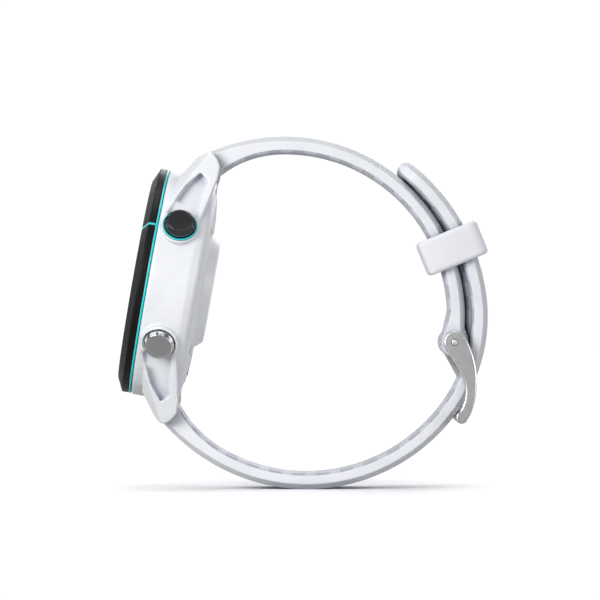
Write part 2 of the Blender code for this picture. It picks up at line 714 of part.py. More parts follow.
def spring_bars():
    """A spring bar in each strap end: a fixed tube with one tip, and a sliding tip with a knob."""
    shoulder = 8.8 * MM
    fixed_reach, tube_end = 10.4 * MM, -2.8 * MM
    slide_reach, slide_start = 10.3 * MM, 4.2 * MM
    for name, end in (("upper", 1), ("lower", -1)):
        spot = bar_place(end)
        profile = [
            (0.0, fixed_reach), (BAR_TIP_R, fixed_reach), (BAR_TIP_R, shoulder), (BAR_R, shoulder),
            (BAR_R, tube_end), (0.0, tube_end),
        ]
        dress(turned(f"{name}_spring_bar", profile, HEAD, 16, False, **spot), STEEL, 0.25, 1.0)
        profile = [
            (0.0, -slide_start), (BAR_R, -slide_start), (BAR_R, -shoulder), (BAR_TIP_R, -shoulder),
            (BAR_TIP_R, -slide_reach), (0.0, -slide_reach),
        ]
        tip = turned(f"{name}_release_pin", profile, HEAD, 16, False, **spot)
        knob = rod(
            f"{name}_knob", KNOB_R, 0.0, 3.4 * MM, HEAD, 12, True,
            location=(end * BAR_X, KNOB_Y, BAR_Z), rotation=(math.pi, 0, 0),
        )
        dress(cut(tip, knob, operation="UNION"), STEEL, 0.25, 1.0)


# -------------------------------------------------------------------- buckle


def buckle_frame():
    """Frame of the buckle: two curved arms and a crossbar, in the frame of its pin."""
    hinge = new_empty("buckle_frame_hinge", flat(PIN), (0, 0, 0))
    inner_bend, crossbar_end, outer_bend = mm([(-4.96, -8.92), (1.27, -13.8), (-12.23, -7.12)])
    outline = arc((0, 0), 2.06 * MM, 35, 200, 20)
    outline += arc(inner_bend, 6.9 * MM, 24, -42, 12)
    outline += arc(crossbar_end, 1.1 * MM, 165, 340, 35)
    outline += arc(outer_bend, 16.3 * MM, -22, 31, 8)
    frame = side_plate("buckle_frame", outline, ARM_OUTER, hinge, chamfer=0.25 * MM)
    top = CROSSBAR_TOP - PIN[1]
    window = box("buckle_window", (-6 * MM, -ARM_INNER, top), (8 * MM, ARM_INNER, 6 * MM), hinge, True)
    half = TONGUE_HALF + 0.25 * MM
    notch = box("tongue_notch", (1.75 * MM, -half, -13.9 * MM), (8 * MM, half, top + 1 * MM), hinge, True)
    eye = rod("frame_eye", PIN_R + SEAM, -12 * MM, 12 * MM, hinge, 24, True, rotation=(math.pi / 2, 0, 0))
    dress(cut(frame, window, notch, eye), STEEL, 0.28, 1.0)


def buckle_tongue():
    """Tongue with its eye round the pin; its bent end rests in the crossbar's notch."""
    lever = new_empty("buckle_tongue_hinge", flat(PIN), (0, 0, 0))
    inner_bend, outer_bend, inner_root, outer_root, outer_foot = mm([
        (-2.8, -10.97), (-1.87, -10.78), (-1.72, -2.1), (-0.6, -2.2), (0.9, -1.1),
    ])
    outline = arc((0, 0), 1.45 * MM, 30, 195, 15)
    outline.append(inner_root)
    outline += arc(inner_bend, 5.29 * MM, 22, -24, 12)
    outline += arc(outer_bend, 5.28 * MM, -29, 23, 12)
    outline += [outer_root, outer_foot]
    tongue = side_plate("buckle_tongue", outline, TONGUE_HALF, lever, chamfer=0.15 * MM)
    bore = rod("tongue_eye", PIN_R + SEAM, -3 * MM, 3 * MM, lever, 24, True, rotation=(math.pi / 2, 0, 0))
    dress(cut(tongue, bore), STEEL, 0.25, 1.0)


def buckle_pin():
    """Pin on which the frame and the tongue turn."""
    reach = 11.1 * MM
    pin = rod("buckle_pin", PIN_R, -reach, reach, None, 24, location=flat(PIN), rotation=(math.pi / 2, 0, 0))
    dress(pin, STEEL, 0.2, 1.0)


def build():
    """Makes every piece of the watch, from the head outwards."""
    middle_case()
    back_cover()
    case_screws()
    charging_port()
    lens()
    bezel()
    display()
    boards()
    inner_pieces()
    buttons()
    upper_strap()
    lower_strap()
    keeper()
    spring_bars()
    buckle_frame()
    buckle_tongue()
    buckle_pin()
    for item in PARTS.objects:
        if item.type == "MESH" and item.data.polygons:
            smooth(item.data)


build()
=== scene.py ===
"""Looks of the gps running watch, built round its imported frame.

Everything is in metres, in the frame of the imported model: +Z up, the dial towards -X, 3 o'clock
towards -Y and the strap closed towards +X. Outlines are written in millimetres and turned into
metres by mm(). Shapes of the watch head are given in the head's own frame: x towards 12 o'clock,
z out of the dial, zero on the rear sensor window.
"""

import json
import logging
import math
from dataclasses import dataclass
from enum import Enum
from typing import Callable, Iterable, Sequence

import bmesh
import bpy
from mathutils import Matrix, Vector


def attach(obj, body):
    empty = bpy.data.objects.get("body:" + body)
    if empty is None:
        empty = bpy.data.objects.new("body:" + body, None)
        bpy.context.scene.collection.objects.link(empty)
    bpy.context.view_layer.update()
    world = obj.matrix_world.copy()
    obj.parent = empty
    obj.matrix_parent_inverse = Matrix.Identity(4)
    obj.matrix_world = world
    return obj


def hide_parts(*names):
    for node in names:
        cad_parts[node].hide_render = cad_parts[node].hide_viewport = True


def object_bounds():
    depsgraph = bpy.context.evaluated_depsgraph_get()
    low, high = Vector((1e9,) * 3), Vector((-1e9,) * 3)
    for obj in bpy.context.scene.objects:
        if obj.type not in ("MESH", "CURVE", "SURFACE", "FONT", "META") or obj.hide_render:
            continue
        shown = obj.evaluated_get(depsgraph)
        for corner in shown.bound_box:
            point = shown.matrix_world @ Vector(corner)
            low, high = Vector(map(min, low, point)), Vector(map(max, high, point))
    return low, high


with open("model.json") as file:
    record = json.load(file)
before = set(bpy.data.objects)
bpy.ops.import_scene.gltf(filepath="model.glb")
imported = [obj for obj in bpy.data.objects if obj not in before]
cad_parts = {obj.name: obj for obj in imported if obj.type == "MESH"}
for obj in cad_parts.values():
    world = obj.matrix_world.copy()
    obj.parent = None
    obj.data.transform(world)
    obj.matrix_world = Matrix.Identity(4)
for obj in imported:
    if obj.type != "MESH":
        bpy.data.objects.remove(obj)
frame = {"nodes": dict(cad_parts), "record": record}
CAD_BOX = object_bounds()

LOG = logging.getLogger("watch")
MM = 0.001
ROOT = "watch"
Point = tuple[float, float]
Colour = tuple[float, float, float]
Socket = bpy.types.NodeSocket


# ------------------------------------------------------------------ places taken from the frame


def joint(name: str) -> dict:
    """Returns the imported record's joint of that name."""
    return next(item for item in frame["record"]["behaviour"]["joints"] if item["name"] == name)


def mount(name: str) -> dict:
    """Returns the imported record's mount of that name."""
    return next(item for item in frame["record"]["mounts"] if item["name"] == name)


def side_point(name: str) -> Point:
    """Returns where a hinge's axis crosses the XZ plane."""
    place = joint(name)["pos_m"]
    return (place[0], place[2])


def reach(node: str, direction: Vector) -> float:
    """Finds how far a node extends in a direction.

    Args:
        node: Name of the CAD node.
        direction: Unit vector in the watch's frame.

    Returns:
        The largest distance along the direction, in metres.
    """
    return max(vertex.co.dot(direction) for vertex in frame["nodes"][node].data.vertices)


DIAL_AXIS = Vector(mount("lens_face")["axis"])
TWELVE = Vector((-DIAL_AXIS.z, 0.0, DIAL_AXIS.x)) * -1.0
HEAD = Matrix((TWELVE, (0.0, 1.0, 0.0), DIAL_AXIS)).transposed().to_4x4()
PIN = side_point("buckle_swing")
UPPER_CENTRE = side_point("keeper_slide")
BAR = (22.9 * MM, 4.7 * MM)     # a spring bar's place in the head's frame, x towards its own lugs


def head_to_side(x: float, z: float) -> Point:
    """Returns a point of the head's frame in the watch's XZ plane."""
    place = HEAD @ Vector((x, 0.0, z))
    return (place.x, place.z)


def bar_place(end: int) -> Matrix:
    """Returns the matrix that carries a shape on the origin to a spring bar: end is 1 or -1."""
    x, z = BAR
    return HEAD @ Matrix.Translation((end * x, 0, z))


# ------------------------------------------------------------------------------ outline helpers


def mm(points: Iterable[Sequence[float]]) -> list[tuple[float, ...]]:
    """Returns points given in millimetres, in metres."""
    return [tuple(value * MM for value in point) for point in points]


def lengths(*values: float) -> list[float]:
    """Returns lengths given in millimetres, in metres."""
    return [value * MM for value in values]


def polar(centre: Point, radius: float, degrees: float) -> Point:
    """Returns the point at an angle round a centre."""
    angle = math.radians(degrees)
    return (centre[0] + radius * math.cos(angle), centre[1] + radius * math.sin(angle))


def arc(centre: Point, radius: float, start: float, end: float, step: float = 3.0) -> list[Point]:
    """Samples an arc.

    Args:
        centre: Centre of the arc.
        radius: Radius in metres.
        start: First angle in degrees.
        end: Last angle in degrees.
        step: Largest angle between two points.

    Returns:
        Points from start to end, both included.
    """
    count = max(1, math.ceil(abs(end - start) / step))
    return [polar(centre, radius, start + (end - start) * index / count) for index in range(count + 1)]


def blend(first: Point, last: Point, share: float) -> Point:
    """Returns the point that lies a share of the way from first to last."""
    return tuple(a + (b - a) * share for a, b in zip(first, last))


def even_fillet(corners: Sequence[Point], radii: Sequence[float], steps: int) -> list[Point]:
    """Rounds corners of a closed outline, always with the same number of points.

    Args:
        corners: The outline's corners, in order.
        radii: Radius for each corner.
        steps: Points at each corner, less one.

    Returns:
        The outline with steps + 1 points at each corner, even where it runs straight.
    """
    count = len(corners)
    points = []
    for index, corner in enumerate(corners):
        here = Vector(corner)
        back = Vector(corners[index - 1]) - here
        ahead = Vector(corners[(index + 1) % count]) - here
        opening = min(back.angle(ahead), math.pi - 0.01)
        room = 0.45 * min(back.length, ahead.length)
        run = min(radii[index] / math.tan(opening / 2), radii[index], room)
        run = max(run, 0.1 * radii[index])
        start, end = here + back.normalized() * run, here + ahead.normalized() * run
        for step in range(steps + 1):
            share = step / steps
            spot = start * (1 - share) ** 2 + here * (2 * share * (1 - share)) + end * share ** 2
            points.append((spot.x, spot.y))
    return points


def fillet(corners: Sequence[Point], radius: float | Sequence[float], steps: int = 5,
           closed: bool = True) -> list[Point]:
    """Rounds the corners of an outline with arcs.

    Args:
        corners: The outline's corners, in order.
        radius: One radius for all corners, or one for each.
        steps: Points on each arc, less one.
        closed: Whether the last corner joins the first.

    Returns:
        The outline with an arc at each corner whose radius isn't zero.
    """
    count = len(corners)
    radii = [radius] * count if isinstance(radius, (int, float)) else list(radius)
    rounded = []
    for index, corner in enumerate(corners):
        if radii[index] <= 0 or (not closed and index in (0, count - 1)):
            rounded.append(corner)
            continue
        here = Vector(corner)
        back = Vector(corners[index - 1]) - here
        ahead = Vector(corners[(index + 1) % count]) - here
        opening = back.angle(ahead)
        if opening > math.pi - 0.02:
            rounded.append(corner)
            continue
        run = min(radii[index] / math.tan(opening / 2), 0.49 * min(back.length, ahead.length))
        start, end = here + back.normalized() * run, here + ahead.normalized() * run
        for step in range(steps + 1):
            share = step / steps
            # a rational quadratic with this weight at the corner is an exact arc
            weight = math.sin(opening / 2) * 2 * share * (1 - share)
            first, last = (1 - share) ** 2, share ** 2
            spot = (start * first + here * weight + end * last) / (first + weight + last)
            rounded.append((spot.x, spot.y))
    return rounded


# ------------------------------------------------------------------------------------- finishes


class Slot(Enum):
    """The record's material slots."""

    CASE = "case_plastic"
    COVER = "cover_plastic"
    BEZEL = "bezel_plastic"
    ACCENT = "accent_plastic"
    LENS = "lens_glass"
    SENSOR = "sensor_glass"
    SILICONE = "silicone"
    BUCKLE = "buckle_steel"
    BUTTON = "button_steel"
    BUTTON_BLACK = "button_black"
    BAR = "bar_steel"
    SCREW = "screw_steel"
    SEAL = "seal_rubber"
    BOARD = "board"
    PANEL = "panel"
    DARK = "dark_plastic"
    FOIL = "battery_foil"
    GOLD = "contact_gold"
    COPPER = "antenna_copper"
    CAN = "motor_steel"


class Graph:
    """Adds shader nodes to a material and links them."""

    def __init__(self, name: str) -> None:
        """Starts a material with its Principled shader.

        Args:
            name: The material's name.
        """
        self.material = bpy.data.materials.new(name)
        self.material.use_nodes = True
        self.tree = self.material.node_tree
        self.shader = self.tree.nodes["Principled BSDF"]
        self.place = self.add("TexCoord").outputs["Object"]

    def add(self, kind: str, inputs: dict | None = None, **settings: object) -> bpy.types.Node:
        """Adds a node.

        Args:
            kind: The node's type, without its ShaderNode prefix.
            inputs: Values or sockets by input name or number.
            **settings: The node's own settings, such as operation.

        Returns:
            The new node.
        """
        node = self.tree.nodes.new("ShaderNode" + kind)
        for key, value in settings.items():
            setattr(node, key, value)
        for key, value in (inputs or {}).items():
            self.feed(node.inputs[key], value)
        return node

    def feed(self, socket: Socket, value: object) -> None:
        """Gives an input a value, or links it to another node.

        Args:
            socket: The input.
            value: A value, or another node's output.
        """
        if isinstance(value, Socket):
            self.tree.links.new(value, socket)
        else:
            socket.default_value = value

    def math(self, operation: str, *values: object) -> Socket:
        """Returns the result of a Math node on the values."""
        return self.add("Math", dict(enumerate(values)), operation=operation).outputs[0]

    def noise(self, size: float, detail: float = 3.0, stretch: Sequence[float] = (1, 1, 1)) -> Socket:
        """Adds noise in object coordinates.

        Args:
            size: Size of the noise's features, in metres.
            detail: Levels of detail.
            stretch: Factors that shorten the pattern along each axis.

        Returns:
            The noise's value, around a half.
        """
        scale = tuple(value / size for value in stretch)
        mapping = self.add("Mapping", {"Vector": self.place, "Scale": scale})
        texture = self.add("TexNoise", {"Vector": mapping.outputs[0], "Scale": 1.0, "Detail": detail})
        return texture.outputs[0]

    def ramp(self, value: Socket, low: float, high: float, start: float = 0.0,
             end: float = 1.0) -> Socket:
        """Returns a value mapped from start..end to low..high, and held there."""
        inputs = {"Value": value, "From Min": start, "From Max": end, "To Min": low, "To Max": high}
        return self.add("MapRange", inputs).outputs[0]

    def mix(self, share: object, first: object, second: object) -> Socket:
        """Adds a mix of two colours.

        Args:
            share: How much of the second there is, as a number or an output.
            first: The first colour, or an output.
            second: The second colour, or an output.

        Returns:
            The mixed colour.
        """
        node = self.add("Mix", data_type="RGBA")
        for index, value in ((0, share), (6, first), (7, second)):
            colour = (*value, 1.0) if isinstance(value, tuple) else value
            self.feed(node.inputs[index], colour)
        return node.outputs[2]

    def bump(self, height: Socket, depth: float, below: object = None) -> Socket:
        """Adds a normal that is bent by a height.

        Args:
            height: The height, from 0 to 1.
            depth: How high 1 is, in metres.
            below: A normal to start from, or None for the surface's own.

        Returns:
            The bent normal.
        """
        inputs = {"Height": height, "Distance": depth, "Strength": 1.0}
        if below is not None:
            inputs["Normal"] = below
        return self.add("Bump", inputs).outputs[0]

    def around(self, centre: Point, radius: float) -> tuple[Socket, Socket]:
        """Adds the distance along an arc of the XZ plane.

        Args:
            centre: The arc's centre.
            radius: Its radius.

        Returns:
            The distance along the arc, and the place along Y.
        """
        x, y, z = self.add("SeparateXYZ", {0: self.place}).outputs
        across = self.math("SUBTRACT", x, centre[0])
        upward = self.math("SUBTRACT", z, centre[1])
        return self.math("MULTIPLY", self.math("ARCTAN2", upward, across), radius), y


@dataclass(frozen=True)
class Finish:
    """A surface: its colour, gloss, fine texture and painted shade in its corners."""

    name: str
    colour: Colour
    roughness: float = 0.4
    metallic: float = 0.0
    grain: float = 0.12 * MM        # size of the fine texture
    depth: float = 0.004 * MM       # how deep it is
    stretch: tuple[float, float, float] = (1.0, 1.0, 1.0)
    mottle: float = 0.03            # how much the colour varies
    spread: float = 0.08            # how much the roughness varies
    coat: float = 0.0
    sheen: float = 0.0
    subsurface: float = 0.0
    wear: float = 0.0               # how much edges are rubbed bright
    specular: float = 0.5
    shade: Colour | None = None     # painted shade: the colour that corners, seams and recesses are darkened towards

    def material(self) -> bpy.types.Material:
        """Returns this finish's material, made once."""
        known = bpy.data.materials.get(self.name)
        return known if known else self.make()

    def make(self) -> bpy.types.Material:
        """Builds the material's nodes.

        Returns:
            The new material.
        """
        graph = Graph(self.name)
        cloud = graph.noise(6 * MM)         # broad variation of the colour
        fine = graph.noise(self.grain, 4.0, self.stretch)
        dark = tuple(value * (1 - self.mottle) for value in self.colour)
        light = tuple(min(1.0, value * (1 + self.mottle)) for value in self.colour)
        colour = graph.mix(graph.ramp(cloud, 0.0, 1.0, 0.35, 0.65), dark, light)
        if self.wear:
            bend = graph.add("NewGeometry").outputs["Pointiness"]
            edge = graph.ramp(bend, 0.0, self.wear, 0.53, 0.62)
            pale = tuple(min(1.0, value * 1.6 + 0.04) for value in self.colour)
            colour = graph.mix(graph.math("MULTIPLY", edge, cloud), colour, pale)
        # painted shade: an occlusion node darkens corners, seams and recesses towards the shade colour
        if self.shade:
            corner_shade = graph.add("AmbientOcclusion", {"Distance": 2.2 * MM}, samples=8).outputs["AO"]
            colour = graph.mix(graph.ramp(corner_shade, 1.0, 0.0, 0.25, 0.95), colour, self.shade)
        smudge = graph.noise(1.6 * MM, 5.0)
        low, high = max(0.02, self.roughness - self.spread), self.roughness + self.spread
        uneven = graph.math("ADD", graph.math("MULTIPLY", fine, 0.4), smudge)
        rough = graph.ramp(uneven, low, high, 0.45, 0.95)
        normal = graph.bump(fine, self.depth)
        colour, rough, normal = self.pattern(graph, colour, rough, normal)
        shader = graph.shader
        inputs = {
            "Base Color": colour,
            "Roughness": rough,
            "Normal": normal,
            "Metallic": self.metallic,
            "Specular IOR Level": self.specular,
            "Coat Weight": self.coat,
            "Coat Roughness": 0.06,
            "Sheen Weight": self.sheen,
            "Sheen Roughness": 0.5,
            "Subsurface Weight": self.subsurface,
            "Subsurface Scale": 1.0 * MM,
        }
        for name, value in inputs.items():
            graph.feed(shader.inputs[name], value)
        return graph.material

    def pattern(self, graph: Graph, colour: object, rough: object, normal: object) -> tuple:
        """Adds what only this finish has; a plain finish adds nothing."""
        return colour, rough, normal


@dataclass(frozen=True)
class Ribbed(Finish):
    """Silicone with fine slanting ribs, as on the strap's outer bevels, with painted shade in the grooves.
    """

    pitch: float = 0.7 * MM
    radius: float = 33.0 * MM
    centre: Point = UPPER_CENTRE

    def pattern(self, graph: Graph, colour: object, rough: object, normal: object) -> tuple:
        """Bends the normal into ribs and paints shade into the grooves.

        Args:
            graph: The material's node graph.
            colour: Colour so far.
            rough: Roughness so far.
            normal: Normal so far.

        Returns:
            Colour, roughness and normal with the ribs.
        """
        run, y = graph.around(self.centre, self.radius)
        slanted = graph.math("ADD", run, graph.math("ABSOLUTE", y))
        wave = graph.math("SINE", graph.math("MULTIPLY", slanted, math.tau / self.pitch))
        height = graph.ramp(wave, 0.0, 1.0, -0.8, 0.8)
        # painted shade: the grooves are darker than the ribs
        groove = tuple(value * 0.88 for value in self.colour)
        return graph.mix(height, groove, colour), rough, graph.bump(height, 0.05 * MM, normal)


@dataclass(frozen=True)
class Dashed(Ribbed):
    """Silicone with rows of shallow dashes, as on the strap's side towards the wrist, with painted shade in
    the dashes.
    """

    pitch: float = 4.9 * MM
    row: float = 2.2 * MM

    def pattern(self, graph: Graph, colour: object, rough: object, normal: object) -> tuple:
        """Sinks rows of dashes into the surface and paints shade into them.

        Args:
            graph: The material's node graph.
            colour: Colour so far.
            rough: Roughness so far.
            normal: Normal so far.

        Returns:
            Colour, roughness and normal with the dashes.
        """
        run, y = graph.around(self.centre, self.radius)
        along = graph.math("COSINE", graph.math("MULTIPLY", run, math.tau / self.pitch))
        rows = graph.math("COSINE", graph.math("MULTIPLY", y, math.tau / self.row))
        long, wide = graph.ramp(along, 0.0, 1.0, -0.3, 0.1), graph.ramp(rows, 0.0, 1.0, 0.2, 0.6)
        dash = graph.math("MULTIPLY", long, wide)
        # painted shade: the sunk dashes are darker than the face round them
        sunk = tuple(value * 0.74 for value in self.colour)
        height = graph.math("SUBTRACT", 1.0, dash)
        return graph.mix(dash, colour, sunk), rough, graph.bump(height, 0.12 * MM, normal)


@dataclass(frozen=True)
class Dial(Finish):
    """Glass over a display that is off: a black border round a faintly paler panel."""

    radius: float = 15.6 * MM
    cell: float = 0.14 * MM

    def pattern(self, graph: Graph, colour: object, rough: object, normal: object) -> tuple:
        """Shows the panel behind the glass, with its border.

        Args:
            graph: The material's node graph.
            colour: Colour so far.
            rough: Roughness so far.
            normal: Normal so far.

        Returns:
            Colour with the panel, and the roughness and normal as they were.
        """
        dial_frame = HEAD.inverted().to_euler()
        turned = graph.add("Mapping", {"Vector": graph.place, "Rotation": tuple(dial_frame)})
        x, y, _ = graph.add("SeparateXYZ", {0: turned.outputs[0]}).outputs
        square = graph.math("ADD", graph.math("MULTIPLY", x, x), graph.math("MULTIPLY", y, y))
        distance = graph.math("SQRT", square)
        panel = graph.ramp(distance, 1.0, 0.0, self.radius - 0.03 * MM, self.radius + 0.03 * MM)
        pitch = math.tau / self.cell
        columns, rows = (graph.math("SINE", graph.math("MULTIPLY", value, pitch)) for value in (x, y))
        grid = graph.ramp(graph.math("MULTIPLY", columns, rows), 0.85, 1.0, -1.0, 1.0)
        lit = graph.mix(grid, (0.016, 0.018, 0.02), (0.03, 0.033, 0.036))
        return graph.mix(panel, (0.004, 0.004, 0.005), lit), rough, normal


@dataclass(frozen=True)
class Optics(Finish):
    """Dark glass over the heart rate sensor, with its emitters and detectors behind it."""

    ring: float = 3.4 * MM
    spot: float = 0.75 * MM
    count: int = 6

    def pattern(self, graph: Graph, colour: object, rough: object, normal: object) -> tuple:
        """Shows a ring of small windows round a middle one.

        Args:
            graph: The material's node graph.
            colour: Colour so far.
            rough: Roughness so far.
            normal: Normal so far.

        Returns:
            Colour with the windows, and the roughness and normal as they were.
        """
        window = 0.0
        spots = [(0.0, 0.0)]
        spots += [polar((0, 0), self.ring, 360 / self.count * index) for index in range(self.count)]
        for index, (x, y) in enumerate(spots):
            centre = HEAD @ Vector((x, y, 0.0))
            offset = graph.add("VectorMath", {0: graph.place, 1: centre}, operation="DISTANCE")
            radius = self.spot * (1.3 if index == 0 else 1.0)
            disc = graph.ramp(offset.outputs["Value"], 1.0, 0.0, radius - 0.05 * MM, radius)
            window = graph.math("MAXIMUM", disc, window)
        return graph.mix(window, colour, (0.05, 0.045, 0.035)), rough, normal


@dataclass(frozen=True)
class Tracked(Finish):
    """Solder mask with tracks, vias and pads."""

    def pattern(self, graph: Graph, colour: object, rough: object, normal: object) -> tuple:
        """Lays copper tracks under the mask.

        Args:
            graph: The material's node graph.
            colour: Colour so far.
            rough: Roughness so far.
            normal: Normal so far.

        Returns:
            Colour, roughness and normal with the tracks.
        """
        mapping = graph.add("Mapping", {"Vector": graph.place, "Scale": (900.0, 900.0, 900.0)})
        cells = graph.add("TexVoronoi", {"Vector": mapping.outputs[0]}, distance="CHEBYCHEV")
        track = graph.ramp(cells.outputs["Distance"], 1.0, 0.0, 0.42, 0.46)
        return graph.mix(track, colour, (0.08, 0.3, 0.14)), rough, graph.bump(track, 0.03 * MM, normal)


# painted shade colour, for the silicone's corners and the gaps between its layers
SHADOW = (0.42, 0.45, 0.53)
# the case plastic; its shade colour is painted shade in the lug pockets and seams
WHITE_MOULDING = Finish(
    "white_moulding", (0.8, 0.81, 0.835), 0.36, wear=0.25, subsurface=0.04, shade=(0.5, 0.53, 0.6),
)
# paler than the case plastic: partly its own white, partly painted light for the rear cover, which the
# lamps reach less; its shade colour is a weaker painted shade
LIGHTENED_WHITE_COVER = Finish(
    "white_cover_painted_light", (0.87, 0.875, 0.895), 0.34, wear=0.2, subsurface=0.04, shade=(0.72, 0.74, 0.79),
)
BLACK_MOULDING = Finish(
    "black_moulding", (0.008, 0.008, 0.009), 0.38, depth=0.006 * MM, mottle=0.15, wear=0.3, specular=0.14,
)
TURQUOISE = Finish("turquoise_trim", (0.03, 0.66, 0.68), 0.3, coat=0.3)
SILICONE = Finish(
    "white_silicone", (0.79, 0.8, 0.835), 0.46, grain=0.2 * MM, depth=0.005 * MM, mottle=0.025,
    sheen=0.12, subsurface=0.08, shade=SHADOW,
)
# darker than the plain silicone: painted shade on the outer bevels, which face away from the light
SHADED_RIBBED_SILICONE = Ribbed(
    "ribbed_silicone_painted_shade", (0.72, 0.735, 0.77), 0.5, sheen=0.1, subsurface=0.06, shade=SHADOW,
)
# much darker than the plain silicone, with a deep shade colour: painted shade on the strap's side towards
# the wrist, which faces away from the lamps
SHADED_INNER_SILICONE = Dashed(
    "dashed_silicone_painted_shade", (0.57, 0.59, 0.65), 0.52, sheen=0.1, subsurface=0.06, shade=(0.2, 0.22, 0.28),
)
SATIN_STEEL = Finish(
    "satin_steel", (0.56, 0.56, 0.555), 0.33, 1.0, grain=0.06 * MM, depth=0.003 * MM,
    stretch=(1.0, 1.0, 0.05), mottle=0.05,
)
POLISHED_STEEL = Finish(
    "polished_steel", (0.84, 0.84, 0.835), 0.33, 1.0, grain=0.4 * MM, depth=0.0008 * MM, spread=0.04,
)
BUTTON_SATIN = Finish(
    "button_satin", (0.5, 0.5, 0.505), 0.36, 1.0, grain=0.05 * MM, depth=0.003 * MM,
    stretch=(1.0, 0.06, 1.0), mottle=0.05,
)
BUTTON_RIM = Finish("button_rim", (0.86, 0.86, 0.86), 0.1, 1.0, depth=0.001 * MM, spread=0.05)
BLACK_SATIN = Finish(
    "black_satin", (0.03, 0.03, 0.031), 0.42, 0.6, grain=0.06 * MM, depth=0.004 * MM, mottle=0.12,
    specular=0.3,
)
BLACK_RIM = Finish("black_rim", (0.1, 0.1, 0.105), 0.05, 1.0, depth=0.001 * MM, spread=0.03)
LENS_GLASS = Dial("lens_glass_dark", (0.008, 0.008, 0.01), 0.06, depth=0.0, spread=0.03, coat=0.6)
SENSOR_GLASS = Optics("sensor_glass_dark", (0.006, 0.006, 0.008), 0.08, depth=0.0, spread=0.04, coat=0.5)
BAR_STEEL = Finish("drawn_steel", (0.55, 0.55, 0.56), 0.26, 1.0, stretch=(1.0, 0.08, 1.0))
SCREW_STEEL = Finish("machined_steel", (0.48, 0.48, 0.5), 0.3, 1.0, grain=0.05 * MM, wear=0.4)
ELASTOMER = Finish("black_elastomer", (0.02, 0.02, 0.02), 0.7, grain=0.2 * MM, depth=0.01 * MM)
SOLDER_MASK = Tracked("green_solder_mask", (0.015, 0.13, 0.06), 0.35)
PANEL_BLACK = Finish("display_panel_black", (0.012, 0.012, 0.016), 0.12, coat=0.4)
DARK_POLYMER = Finish("dark_polymer", (0.03, 0.03, 0.032), 0.5, depth=0.01 * MM, mottle=0.1)
CELL_FOIL = Finish("laminated_foil", (0.6, 0.61, 0.63), 0.3, 0.85, grain=0.6 * MM, depth=0.02 * MM)
GOLD_PLATE = Finish("gold_plate", (0.83, 0.6, 0.22), 0.2, 1.0, wear=0.3)
COPPER_PLATE = Finish("copper_plate", (0.72, 0.38, 0.24), 0.28, 1.0)
PRESSED_CAN = Finish("pressed_can", (0.55, 0.55, 0.57), 0.3, 1.0, stretch=(1.0, 0.2, 1.0))


# ------------------------------------------------------------------------------- mesh workshop


